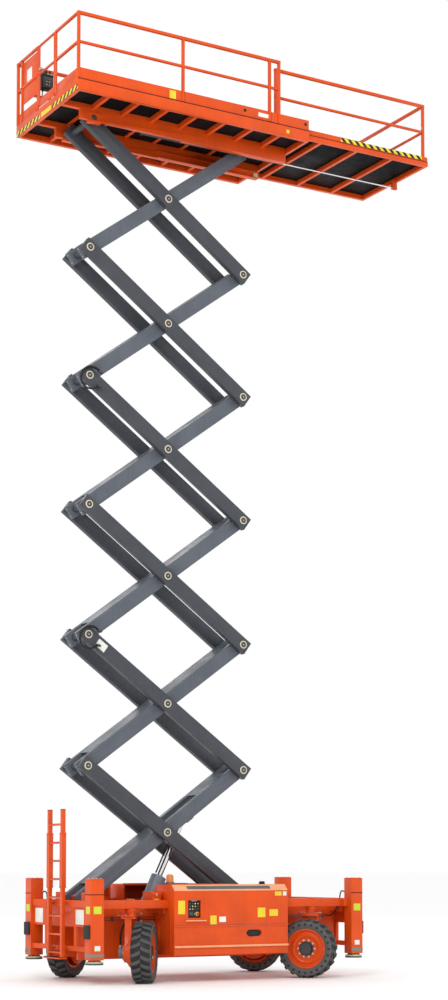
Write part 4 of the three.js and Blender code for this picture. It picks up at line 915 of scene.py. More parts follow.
class LIFT_OT_side_covers(bpy.types.Operator):
    """Panels, ledges, sloping edge, grip and blank plates of the side compartments"""
    bl_idname = "lift.side_covers"
    bl_label = "Side covers"

    def execute(self, context):
        proud = sizes().seam
        left, right = cx(-COVER_X), cx(COVER_X)
        for side, name in ((-1, "near"), (1, "far")):
            face = side * COVER_Y
            skin = span(face, side, -0.0005, proud)
            whole = bmesh.new()
            rib = span(face, side, -0.0005, 0.012)
            # pressed field, rubbing ledge and the proud lip along the bottom; the ledge is in a
            # lighter orange, a painted highlight of a lit face
            add(whole, border((cx(-0.885), cx(-0.545)), (1.0, 1.4), 0.03, skin))
            box(whole, (left - 0.002, right + 0.002), rib, (0.905, 0.93), 0.004)
            box(whole, (left - 0.002, right + 0.002), span(face, side, 0, 0.03), (0.565, 0.6),
                0.008, tint=5)
            # thin dark strip above the rib, painted shade in the gap under the doors
            box(whole, (left, right), span(face, side, 0, 0.001), (0.93, 0.936), 0.0, tint=6)
            for x0, x1 in ((-1.08, -0.9), (-0.53, 0.22), (0.23, 1.08)):
                box(whole, (cx(x0), cx(x1)), span(face, side, 0, 0.002), (0.94, 1.485), 0.0015)
            # sloping top edge, in the lighter orange of a painted highlight where it faces the
            # light, with its blank banner
            for x0, x1, from_edge, proud_by, tint in ((left + 0.004, right - 0.004, 0.0, 0.002, 5),
                                                      (cx(-0.84), cx(0.77), 0.025, 0.0035, 6)):
                out, up = COVER_Y - from_edge, COVER_TOP - COVER_CHAMFER + from_edge
                back, top = COVER_Y - COVER_CHAMFER + from_edge, COVER_TOP - from_edge
                strip = outline([(side * out, up), (side * back, top),
                                 (side * (back + proud_by), top + proud_by),
                                 (side * (out + proud_by), up + proud_by)], x1 - x0)
                add(whole, strip, place=Matrix(((0, 0, 1, x0), (1, 0, 0, 0), (0, 1, 0, 0),
                                                (0, 0, 0, 1))), tint=tint)
            # grip lip, dark inside
            grip_x, grip_z = cx(0.43), 0.79
            lip = [(grip_x - 0.095, grip_z - 0.055), (grip_x + 0.095, grip_z - 0.055),
                   (grip_x + 0.15, grip_z), (grip_x + 0.095, grip_z + 0.055),
                   (grip_x - 0.095, grip_z + 0.055), (grip_x - 0.15, grip_z)]
            add(whole, pipe([(x, face, z) for x, z in lip], 0.005, closed=True, sides=8), tint=2)
            hollow = outline([(x, z) for x, z in lip], 0.002, turn(90, "X"))
            add(whole, hollow, place=move(0, face - side * 0.0165 + 0.001, 0), tint=2)
            # shelf under the controls, in the lighter orange of a painted highlight, and blank
            # plates
            if side < 0:
                box(whole, (cx(-0.9), cx(-0.52)), (face - 0.06, face), (1.0, 1.02), 0.004, tint=5)
            for x0, x1, z0, z1, tint in ((-1.03, -0.9, 1.12, 1.34, 4),
                                         (-0.42, -0.3, 0.945, 1.09, 4),
                                         (-0.25, -0.12, 0.98, 1.07, 3), (0.5, 0.65, 1.05, 1.21, 4),
                                         (0.73, 0.9, 1.07, 1.18, 4), (0.84, 0.97, 1.41, 1.48, 4),
                                         (1.0, 1.07, 1.41, 1.48, 3)):
                plate(whole, (cx(x0), cx(x1)), span(face, side, proud, proud + PLATE), (z0, z1),
                      tint)
            # ends: stiffening ribs
            for x, e in ((left, -1), (right, 1)):
                for y in (0.72, 1.12):
                    box(whole, span(x, e, 0, 0.012), span(0, side, y - 0.02, y + 0.02),
                        (0.5, 1.16), 0.005)
            # top: anti-slip strip and a filler cap
            plate(whole, (left + 0.05, right - 0.05), span(0, side, 1.02, 1.13),
                  above(COVER_TOP, 0, PLATE), 2)
            box(whole, (left + 0.2, right - 0.9), span(0, side, 0.62, 0.98),
                above(COVER_TOP, 0, 0.012), 0.004)
            add(whole, turned([(0.0, 0.05), (0.04, 0.05), (0.048, 0.044), (0.05, 0.012),
                               (0.056, 0.008), (0.056, 0.0), (0.0, 0.0)], 24,
                              move(cx(0.86), side * 0.8, COVER_TOP)), tint=2)
            fit(name + "_cover_detail", "chassis", whole,
                ("orange", "zinc", "black", "white", "yellow", "orange_light", "banner"))
        return {"FINISHED"}


class LIFT_OT_ground_controls(bpy.types.Operator):
    """Buttons, key switch, gauge and stop button in the side recess"""
    bl_idname = "lift.ground_controls"
    bl_label = "Ground controls"

    def execute(self, context):
        whole = bmesh.new()
        face, out = -1.22, facing(-1)
        x0, x1, z0, z1 = -1.535, -1.315, 1.065, 1.335
        box(whole, (x0, x1), (face - 0.004, face), (z0, z1), 0.003)
        for row, z in enumerate((1.29, 1.245, 1.2)):
            for col in range(4):
                x = x0 + 0.035 + col * 0.05
                tint = (2, 3, 4, 5)[(row + col) % 4]
                add(whole, ring(0.0, 0.0145, 0, 0.006, move(x, face - 0.004, z) @ out), tint=1)
                add(whole, ring(0.0, 0.01, 0.005, 0.012, move(x, face - 0.004, z) @ out, steps=20),
                    tint=tint)
        stop = move(x1 - 0.045, face - 0.004, 1.12) @ out
        add(whole, ring(0.0, 0.034, 0, 0.004, stop), tint=5)
        add(whole, turned([(0.0, 0.034), (0.016, 0.034), (0.022, 0.03), (0.023, 0.022),
                           (0.013, 0.018), (0.013, 0.003), (0.0, 0.003)], 28, stop), tint=2)
        box(whole, above(x0, 0.02, 0.1), above(face, -0.008, -0.003), (1.09, 1.16), 0.003, tint=1)
        box(whole, above(x0, 0.027, 0.093), above(face, -0.009, -0.007), (1.102, 1.15), 0.001,
            tint=6)
        key = move(x0 + 0.13, face - 0.004, 1.12) @ out
        add(whole, ring(0.006, 0.016, 0, 0.008, key), tint=7)
        box(whole, (-0.0015, 0.0015), (-0.011, 0.011), (0.006, 0.034), 0.0005, place=key, tint=7)
        box(whole, (x0 + 0.01, x1 - 0.01), (-1.2495, -1.19), (1.338, 1.344), 0.001, tint=1)
        add(whole, bar((x0 + 0.06, -1.235, 1.3365), (x1 - 0.06, -1.235, 1.3365), 0.006, 12),
            tint=4)
        fit("ground_controls", "chassis", whole,
            ("black", "gloss_black", "red", "green", "white", "yellow", "glass", "zinc"))
        return {"FINISHED"}


class LIFT_OT_upper_boxes(bpy.types.Operator):
    """Beacon, and the lids, latch and vents of the boxes on the chassis"""
    bl_idname = "lift.upper_boxes"
    bl_label = "Upper boxes"

    def execute(self, context):
        whole = bmesh.new()
        place = move(cx(-0.85), -0.64, COVER_TOP + 0.0003)
        add(whole, turned([(0.0, 0.0), (0.075, 0.0), (0.0752, 0.036), (0.066, 0.044),
                           (0.0, 0.044)], 40, place))
        lens = [(0.0, 0.04), (0.063, 0.04), (0.064, 0.05)]
        lens += [(0.061 + 0.0018 * (i % 2), 0.054 + 0.008 * i) for i in range(11)]
        lens += [(0.06, 0.146), (0.054, 0.158), (0.036, 0.168), (0.0, 0.172)]
        add(whole, turned(lens, 40, place), tint=1)
        fit("beacon_lens", "chassis", whole, ("cast", "amber"), replaces=["beacon"])
        whole = bmesh.new()
        # lid and latch of the valve box
        add(whole, slab((-2.04, -1.845), (-0.896, -0.564), (1.478, 1.487), 0.003),
            slab((-2.04, -1.845), (-0.897, -0.891), (1.43, 1.48), 0.002))
        box(whole, (-1.96, -1.92), (-0.906, -0.896), (1.41, 1.46), 0.003, tint=1)
        plate(whole, (-1.99, -1.9), (-0.8925, -0.89), (1.3, 1.37), 3)
        # lid, vents and carrying handle of the battery box
        box(whole, (-2.352, -1.878), (0.883, 1.017), (1.588, 1.6), 0.004)
        add(whole, pipe([(-2.2, 0.95, 1.598), (-2.2, 0.95, 1.64), (-2.03, 0.95, 1.64),
                         (-2.03, 0.95, 1.598)], 0.007, corner=0.02), tint=1)
        for i in range(6):
            for s in SIDES:
                box(whole, (-2.3, -1.93), span(0.95, s, 0.06, 0.0625),
                    (1.4 + i * 0.028, 1.412 + i * 0.028), 0.001, 1, tint=2)
        fit("upper_box_lids", "chassis", whole,
            ("orange", "zinc", "black", "yellow"))
        return {"FINISHED"}


class LIFT_OT_ladder_detail(bpy.types.Operator):
    """Rung grips, sleeve bands, pins and the step mat of the ladder"""
    bl_idname = "lift.ladder_detail"
    bl_label = "Ladder detail"

    def execute(self, context):
        whole = bmesh.new()
        (x0, x1), across = LADDER_X, 0.0375
        inside = LADDER_HALF - across
        for i in range(8):
            z = FIRST_RUNG + RUNG_PITCH * i
            box(whole, (x0 + 0.008, x1 - 0.008), about(LADDER_Y, inside), (z + 0.0145, z + 0.018),
                0.001, 1, tint=1)
            for j in range(9):
                y = LADDER_Y + (j - 4) * 0.045
                box(whole, (x0 + 0.01, x1 - 0.01), about(y, 0.006), (z + 0.017, z + 0.0205), 0.001,
                    1, tint=1)
        for s in SIDES:
            y = LADDER_Y + s * LADDER_HALF
            box(whole, (x0 - 0.002, x1 + 0.002), (y - across - 0.002, y + across + 0.002),
                (2.836, 2.846), 0.003, tint=2)
            for z in (1.552, 2.43):
                box(whole, (x0 - 0.012, x1 + 0.012), (y - across - 0.014, y + across + 0.014),
                    (z, z + 0.024), 0.003)
            for z in (1.7, 2.3):
                add(whole, bar((x0 - 0.014, y, z), (x1 + 0.014, y, z), 0.008, 10, 0.001), tint=3)
        tread = (LADDER_Y - 0.298, LADDER_Y + 0.298)
        box(whole, (x0 - 0.058, x1 + 0.036), tread, (0.412, 0.417), 0.001, 1, tint=1)
        for i in range(14):
            y = tread[0] + 0.026 + i * 0.042
            box(whole, (x0 - 0.054, x1 + 0.032), about(y, 0.005), (0.416, 0.421), 0.001, 1, tint=1)
        fit("ladder_detail", "chassis", whole,
            ("orange", "black", "rubber", "zinc"))
        return {"FINISHED"}


class LIFT_OT_jacks(bpy.types.Operator):
    """Foot pads, locking bolts and wear plates of the four corner jacks"""
    bl_idname = "lift.jacks"
    bl_label = "Jacks"

    def execute(self, context):
        for corner, (end, side, _) in CORNERS.items():
            x, y = cx(end * POST_X), side * POST_Y
            whole = bmesh.new()
            add(whole, turned([(0.0, 0.3245), (0.13, 0.3245), (0.138, 0.327), (0.138, 0.352),
                               (0.146, 0.356), (0.146, 0.366), (0.138, 0.3715), (0.1, 0.3725),
                               (0.09, 0.38), (0.0, 0.38)], 48, move(x, y, 0)), tint=1)
            add(whole, ring(0.139, 0.1465, 0.328, 0.3515, move(x, y, 0), 48))
            bolts(whole, [move(x, y, FOOT_TOP) @ turn(90 * i + 45, "Z") @ move(0.118, 0, 0)
                          for i in range(4)], 2, 0.01)
            for s in SIDES:
                add(whole, outline([(0.075, 0), (0.115, 0), (0.075, 0.03)], 0.012, bevel=0.001),
                    place=move(x, y + 0.006, FOOT_TOP) @ turn(90, "X")
                    @ Matrix.Scale(s, 4, (1, 0, 0)), tint=3)
            fit("jack_foot_" + corner, "jack_" + corner, whole,
                ("dark_steel", "pad", "zinc", "slate"))
        return {"FINISHED"}


# ------------------------------------------------------------------ arm stack
def arm_place(level, inner):
    """The arm's own frame: first pin at the origin and the arm along X."""
    foot = PIVOT_Z + (level - 1 if inner else level) * PITCH
    return move(PIVOT_X, 0, foot) @ Matrix.Rotation(-ARM_ANGLE if inner else ARM_ANGLE, 4, "Y")


def outer_trim(level):
    """Pin rings, end caps, weld beads and grease fittings of an outer pair."""
    whole = bmesh.new()
    pins = [0.0, ARM_LENGTH / 2] + ([] if level == 1 else [ARM_LENGTH])
    for side in SIDES:
        for x in pins:
            pin = move(x, side * OUTER_FACE, 0) @ facing(side)
            add(whole, ring(0.0505, 0.068, 0.0, 0.014, pin, 40, 0.003), tint=1)
            add(whole, ring(0.0, 0.0495, 0.0105, 0.0135, pin, 32, 0.002), tint=2)
            add(whole, ring(0.0, 0.012, 0.013, 0.017, pin, 12), tint=3)
        for x, out in ((-BAR_END, -1), (ARM_LENGTH + BAR_END, 1)):
            y = span(0, side, 0.285, 0.365)
            box(whole, span(x, out, 0, 0.003), y, (-0.105, 0.105), 0.0014)
            add(whole, turned([(0.0, 0.012), (0.004, 0.012), (0.004, 0.008), (0.008, 0.006),
                               (0.008, 0.0), (0.0, 0.0)], 12,
                              move(x + out * 0.003, side * 0.325, 0.05) @ facing(out, "X")),
                tint=1)
        # weld beads where the wear plates meet the bar
        for x in (0.34, ARM_LENGTH / 2 - 0.3, ARM_LENGTH / 2 + 0.3, ARM_LENGTH - 0.34):
            box(whole, about(x, 0.09), span(0, side, 0.3, 0.35), above(HALF_DEPTH, -0.001, 0.003),
                0.0015)
    if level == 2:
        box(whole, (0.2, 0.4), above(-OUTER_FACE, -0.0015, 0), (-0.07, 0.07), 0.0006, 1, tint=4)
    return whole


def inner_trim(level):
    """End caps with their bolts on an inner pair."""
    whole = bmesh.new()
    tail = 0.095 if level == LEVELS else BAR_END
    for side in SIDES:
        for x, out in ((-BAR_END, -1), (ARM_LENGTH + tail, 1)):
            y = span(0, side, 0.165, 0.245)
            box(whole, span(x, out, 0, 0.003), y, (-0.105, 0.105), 0.0014)
            bolts(whole, [move(x + out * 0.003, side * 0.205, z) @ facing(out, "X")
                          for z in (-0.07, 0.07)], 1, 0.008, 0.005)
    return whole


def hose_loop():
    """Two hoses outside the outer bar that hang in a bight round its left pin."""
    whole = bmesh.new()
    for bow in (0.0, 0.026):
        y = -0.41 - bow
        add(whole, pipe([(0.16, y, 0.08), (0.1, y, 0.13), (-0.03, y, 0.13 + bow),
                         (-0.14 - bow, y, 0.06), (-0.18 - bow, y, -0.06), (-0.15 - bow, y, -0.18),
                         (-0.06, y, -0.24 - bow), (0.06, y, -0.24), (0.14, y, -0.19)],
                        sizes().hose + 0.003))
        for x, z in ((0.17, 0.06), (0.15, -0.18)):
            add(whole, bar((x - 0.03, y, z + 0.01), (x + 0.05, y, z - 0.01), 0.018, 6, 0.001),
                tint=1)
    return whole


class LIFT_OT_arms(bpy.types.Operator):
    """Fitted detail of the six levels of crossed arms"""
    bl_idname = "lift.arms"
    bl_label = "Arms"

    def execute(self, context):
        for level in range(1, LEVELS + 1):
            fit(f"outer_arm_trim_{level}", f"outer_{level}", outer_trim(level),
                ("slate", "cream", "dark_steel", "zinc", "white"), arm_place(level, False))
            fit(f"inner_arm_trim_{level}", f"inner_{level}", inner_trim(level),
                ("slate", "zinc"), arm_place(level, True))
        for level in (2, 4):
            fit(f"hose_loop_{level}", f"outer_{level}", hose_loop(),
                ("hose", "dark_steel"), move(PIVOT_X, 0, PIVOT_Z + level * PITCH))
        return {"FINISHED"}


class LIFT_OT_lift_cylinder(bpy.types.Operator):
    """Sleeve, gland, ports, hard line and hose of the lift cylinder"""
    bl_idname = "lift.lift_cylinder"
    bl_label = "Lift cylinder"

    def execute(self, context):
        lean = math.atan2(RAM_LINE.z, RAM_LINE.x)
        place = Matrix.Translation(RAM_BASE) @ Matrix.Rotation(-lean, 4, "Y")
        along = turn(90, "Y")
        whole = bmesh.new()
        add(whole, ring(BARREL_RADIUS, 0.1, 0.3, 0.33, along, 40),
            ring(BARREL_RADIUS, 0.1, 0.9, 0.93, along, 40))
        add(whole, ring(BARREL_RADIUS, 0.132, 0.8, GLAND, along, 48, 0.006))
        add(whole, ring(0.054, 0.072, GLAND, 1.434, along, 40), tint=1)
        bolts(whole, [along @ turn(45 * i, "Z") @ move(0.088, 0, GLAND) for i in range(8)], 2,
              0.01)
        for x in (0.19, 1.27):
            box(whole, about(x, 0.03), (-0.118, -0.08), (-0.03, 0.03), 0.004)
            add(whole, bar((x, -0.118, 0), (x, -0.128, 0), 0.016, 6, 0.001), tint=2)
        add(whole, pipe([(0.19, -0.112, 0.02), (0.26, -0.104, 0.045), (1.2, -0.104, 0.045),
                         (1.27, -0.112, 0.02)], 0.008, corner=0.03), tint=3)
        for x in (0.45, 0.75, 1.05):
            box(whole, about(x, 0.012), (-0.114, -0.08), (0.03, 0.058), 0.003, tint=2)
        fit("lift_cylinder_fittings", "ram_barrel", whole,
            ("blue_grey", "brass", "zinc", "dark_steel"), place)
        hose = pipe([(1.43, -0.1, 0.13), (2.0, -0.1, 0.13), (2.55, -0.1, 0.13)], 0.014)
        fit("lift_cylinder_hose", "ram_barrel", hose, ("hose",), place)
        return {"FINISHED"}


# ------------------------------------------------------------------ platform
def foot(whole, x, y, z, along="X"):
    """A small flange with two bolts at the foot of a post."""
    a, b = (0.045, 0.03) if along == "X" else (0.03, 0.045)
    box(whole, about(x, a), about(y, b), (z, z + 0.008), 0.002)
    shift = [(d, 0) if along == "X" else (0, d) for d in (-0.034, 0.034)]
    bolts(whole, [move(x + dx, y + dy, z + 0.008) for dx, dy in shift], 1, 0.006, 0.006)


def tube(start, end):
    """A round rail between two points."""
    return pipe([start, end], TUBE, sides=16)


def side_rail(side, gate_y):
    """One side's rails and toe board, with its half of the ladder end."""
    whole = bmesh.new()
    left, right = PLATFORM_LEFT + TUBE, CHASSIS_X + 0.98
    y, base = side * (PLATFORM_Y - TUBE), FRAME_TOP + 0.0003
    top, mid = FRAME_TOP + RAIL_HEIGHT, FRAME_TOP + MID_RAIL
    foot_z = base + RAIL
    add(whole, square((left, y, top - RAIL + TUBE), (right, y, top - RAIL + TUBE), RAIL),
        square((left, y, mid), (right, y, mid), TUBE),
        square((left, gate_y, top), (left, y, top), TUBE),
        square((left, gate_y, mid), (left, y, mid), TUBE),
        tube((left, gate_y, base), (left, gate_y, top)))
    for x in (left, CHASSIS_X - 0.93, CHASSIS_X + 0.79, right):
        add(whole, square((x, y, foot_z), (x, y, top - RAIL), RAIL - 0.002))
    thick = 0.006
    add(whole, slab((PLATFORM_LEFT + 0.002, PLATFORM_RIGHT), about(y, thick),
                    (base, FRAME_TOP + TOE_BOARD), 0.002),
        slab(about(left, thick), sorted((gate_y, y)), (base, FRAME_TOP + TOE_BOARD), 0.002))
    # folded lip and joints of the toe board
    box(whole, (PLATFORM_LEFT + 0.002, PLATFORM_RIGHT), span(y, side, 0, -0.02),
        above(FRAME_TOP, 0.172, 0.178), 0.002)
    for x in (-1.6, 0.12):
        box(whole, about(x, 0.002), span(y, side, 0.0055, 0.0068),
            (base + 0.004, FRAME_TOP + 0.176), 0.0, tint=2)
    # plugs and blank labels on the toe board
    for x in (CHASSIS_X + 0.29, CHASSIS_X + 1.53):
        plug = move(x, y + side * thick, FRAME_TOP + 0.1) @ facing(side)
        add(whole, ring(0.0, 0.028, 0, 0.004, plug, 24), tint=2)
    skin = span(y, side, thick, thick + PLATE)
    plate(whole, above(CHASSIS_X, 0.56, 0.78), skin, above(FRAME_TOP, 0.05, 0.12), 3)
    plate(whole, above(CHASSIS_X, -1.19, -1.07), skin, above(FRAME_TOP, 0.01, 0.15), 4)
    foot(whole, left, gate_y, base, along="Y")
    return whole


class LIFT_OT_guardrails(bpy.types.Operator):
    """Side rails, ladder-end rails and the entry gate"""
    bl_idname = "lift.guardrails"
    bl_label = "Guardrails and gate"

    def execute(self, context):
        left = PLATFORM_LEFT + TUBE
        near = side_rail(-1, -0.34)
        fit("near_rail_tubes", "platform", near,
            ("orange", "zinc", "black", "white", "yellow"), replaces=["near_guardrail"])
        far = side_rail(1, 0.38)
        end_y = PLATFORM_Y - TUBE - 0.18
        add(far, square((left, end_y, FRAME_TOP + TUBE), (left, end_y, FRAME_TOP + RAIL_HEIGHT),
                        TUBE))
        box(far, about(left, 0.004), (0.385, end_y), above(FRAME_TOP, 0.3, 1.04), 0.002)
        box(far, above(left, -0.0062, -0.0038), (0.62, 0.82), above(FRAME_TOP, 0.62, 0.86), 0.001,
            tint=3)
        fit("far_rail_tubes", "platform", far,
            ("orange", "zinc", "black", "white", "yellow"), replaces=["far_guardrail"])
        whole = bmesh.new()
        top, mid, low = (FRAME_TOP + height for height in (RAIL_HEIGHT, MID_RAIL, 0.06))
        y0, y1, hinge_y = -0.29, 0.33, -0.3007
        add(whole, tube((left, y0, top), (left, y1, top)), tube((left, y0, mid), (left, y1, mid)),
            tube((left, y0, low), (left, y0, top)), tube((left, y1, low), (left, y1, top)),
            slab(about(left, 0.005), (y0, y1), (low - 0.03, FRAME_TOP + TOE_BOARD), 0.002))
        for z in (top - 0.14, low + 0.16):
            add(whole, ring(0.007, 0.0175, -0.03, 0.03, move(left, hinge_y, z), 24))
            add(whole, bar((left, hinge_y, z - 0.034), (left, hinge_y, z + 0.036), 0.0065, 12,
                           0.001), tint=1)
        box(whole, about(left, 0.014), (y1 - 0.09, y1 + 0.012), above(mid, 0.06, 0.1), 0.003,
            tint=1)
        add(whole, bar((left + 0.012, y1 - 0.06, mid + 0.08), (left + 0.05, y1 - 0.06, mid + 0.08),
                       0.007, 12, 0.001),
            bar((left + 0.045, y1 - 0.06, mid + 0.08), (left + 0.07, y1 - 0.06, mid + 0.08),
                0.013, 16, 0.004), tint=2)
        fit("gate_tubes", "gate", whole, ("orange", "zinc", "black"),
            replaces=["entry_gate"])
        return {"FINISHED"}


def deck_joint(whole, x, half, heights, screw_z, rows, tint):
    """A joint across a deck sheet with a row of countersunk screws on each side."""
    box(whole, about(x, 0.002), (-half, half), heights, tint=tint)
    for y in rows:
        for d in (-0.03, 0.03):
            add(whole, ring(0.0, 0.009, 0, 0.0015, move(x + d, y, screw_z), 12), tint=1)


class LIFT_OT_platform_detail(bpy.types.Operator):
    """Stripes, seams, lashing rings, deck joints and pads of the platform"""
    bl_idname = "lift.platform_detail"
    bl_label = "Platform detail"

    def execute(self, context):
        whole = bmesh.new()
        left, right = PLATFORM_LEFT, PLATFORM_RIGHT
        # striped edge in two runs with a blank plate between them
        for y0, y1, tint in ((-1.215, -0.25, 2), (0.25, 1.215, 2), (-0.2, 0.2, 4)):
            plate(whole, (left - PLATE, left), (y0, y1), above(FRAME_Z, 0.01, 0.09), tint)
        for side in SIDES:
            face = side * PLATFORM_Y
            # seam under the toe board, a dark strip of painted shade, folded edge and small blank
            # plates
            plate(whole, (left + 0.004, right - 0.002), span(face, side, 0, PLATE),
                  above(FRAME_TOP, -0.02, -0.003), 7)
            box(whole, (left + 0.01, right - 0.01), span(face, side, 0, 0.004),
                above(FRAME_Z, 0.002, 0.016), 0.0015)
            plate(whole, (0.42, 0.48), span(face, side, 0, PLATE), above(FRAME_Z, 0.06, 0.12), 4)
            # lashing rings at the corners of the deck
            for x in (left + 0.16, right - 0.3):
                add(whole, ring(0.02, 0.028, -0.004, 0.004, move(x, side * 1.08, DECK_Z + 0.03)
                                @ turn(90, "Y")), tint=1)
                box(whole, about(x, 0.012), about(side * 1.08, 0.03), above(DECK_Z, 0.006, 0.01),
                    0.001, tint=1)
            # wear pad and stop at the end of the roller track
            track_y = span(0, side, 0.42, 0.44)
            box(whole, above(right, -0.15, -0.06), track_y, above(FRAME_Z, -0.14, -0.06), 0.004,
                tint=6)
            box(whole, about(PIVOT_X, 0.1), span(0, side, 0.52, 0.532),
                above(FRAME_Z, -0.06, -0.02), 0.004)
        # joints and countersunk screws of the deck sheets
        for i in range(1, 4):
            x = left + 0.07 + i * 1.11
            deck_joint(whole, x, 1.14, (DECK_Z + 0.0055, DECK_Z + 0.0072), DECK_Z + 0.006,
                       [-1.05 + j * 0.3 for j in range(8)], 5)
        # pale nylon pads the extension runs on
        for side in SIDES:
            box(whole, above(right, -0.5, -0.08), span(0, side, 0.985, 1.045),
                above(DECK_Z, 0.006, 0.0085), 0.001, tint=6)
        fit("platform_detail", "platform", whole,
            ("orange", "zinc", "hazard", "white", "yellow", "black", "pad", "seam"))
        return {"FINISHED"}


class LIFT_OT_platform_controls(bpy.types.Operator):
    """Console with joystick, stop button, switches and its cable"""
    bl_idname = "lift.platform_controls"
    bl_label = "Platform controls"

    def execute(self, context):
        whole = bmesh.new()
        x0, x1, y0, y1 = -3.225, -3.005, 1.01, 1.14
        z0, z1 = FRAME_TOP + 0.7, FRAME_TOP + 1.0
        mid = (x0 + x1) / 2
        box(whole, (x0, x1), (y0, y1), (z0, z1 - 0.05), 0.012, 3)
        box(whole, (x0 - 0.006, x1 + 0.006), (y0 - 0.008, y1), (z1 - 0.055, z1 - 0.035), 0.004,
            tint=1)
        box(whole, (x0 + 0.012, x1 - 0.012), (y0 - 0.004, y0), (z0 + 0.03, z1 - 0.08), 0.002,
            tint=1)
        stick = move(mid + 0.07, (y0 + y1) / 2, z1 - 0.036)
        add(whole, turned([(0.0, 0.02), (0.012, 0.02), (0.018, 0.015), (0.022, 0.012),
                           (0.024, 0.006), (0.032, 0.004), (0.034, 0.0), (0.0, 0.0)], 28, stick),
            tint=1)
        add(whole, turned([(0.0, 0.094), (0.01, 0.094), (0.016, 0.086), (0.017, 0.07),
                           (0.011, 0.05), (0.008, 0.03), (0.008, 0.014), (0.0, 0.014)], 24, stick))
        stop = move(mid - 0.08, (y0 + y1) / 2, z1 - 0.036)
        add(whole, ring(0.0, 0.03, 0, 0.004, stop), tint=5)
        add(whole, turned([(0.0, 0.034), (0.014, 0.034), (0.02, 0.029), (0.021, 0.022),
                           (0.012, 0.018), (0.012, 0.003), (0.0, 0.003)], 28, stop), tint=2)
        for i in range(3):
            spot = move(mid - 0.02 + i * 0.02, y0 + 0.03, z1 - 0.036)
            add(whole, ring(0.0, 0.008, 0, 0.003, spot, 16), tint=6)
            add(whole, bar((mid - 0.02 + i * 0.02, y0 + 0.03, z1 - 0.034),
                           (mid - 0.02 + i * 0.02, y0 + 0.036, z1 - 0.018), 0.0035, 10, 0.001),
                tint=6)
        out = facing(-1)
        for row in range(2):
            for col in range(4):
                spot = move(x0 + 0.035 + col * 0.05, y0 - 0.004, z0 + 0.07 + row * 0.055) @ out
                add(whole, ring(0.0, 0.015, 0, 0.003, spot, 20))
                add(whole, ring(0.0, 0.01, 0.002, 0.008, spot, 16), tint=(3, 4, 5, 2)[col])
        box(whole, (x0 + 0.04, x1 - 0.04), (y0 - 0.006, y0 - 0.003), above(z0, 0.16, 0.195), 0.001,
            tint=7)
        box(whole, about(mid, 0.03), (1.1, 1.172), (z1 - 0.06, z1 + 0.1), 0.006)
        box(whole, about(mid, 0.03), (1.139, 1.1775), above(FRAME_TOP, 1.06, 1.098), 0.004, tint=6)
        add(whole, pipe([(x0 + 0.05, 1.1, z0), (x0 + 0.05, 1.1, z0 - 0.12), (x0, 1.13, z0 - 0.3),
                         (x0 - 0.1, 1.14, z0 - 0.45), (x0 - 0.14, 1.13, FRAME_TOP - 0.02),
                         (x0 - 0.14, 1.12, DECK_Z + 0.01)], 0.009))
        add(whole, bar((x0 + 0.05, 1.1, z0 + 0.002), (x0 + 0.05, 1.1, z0 - 0.03), 0.015, 12,
                       0.002), tint=1)
        fit("console", "platform", whole,
            ("black", "gloss_black", "red", "green", "white", "yellow", "zinc", "glass"),
            replaces=["platform_control_box"])
        return {"FINISHED"}


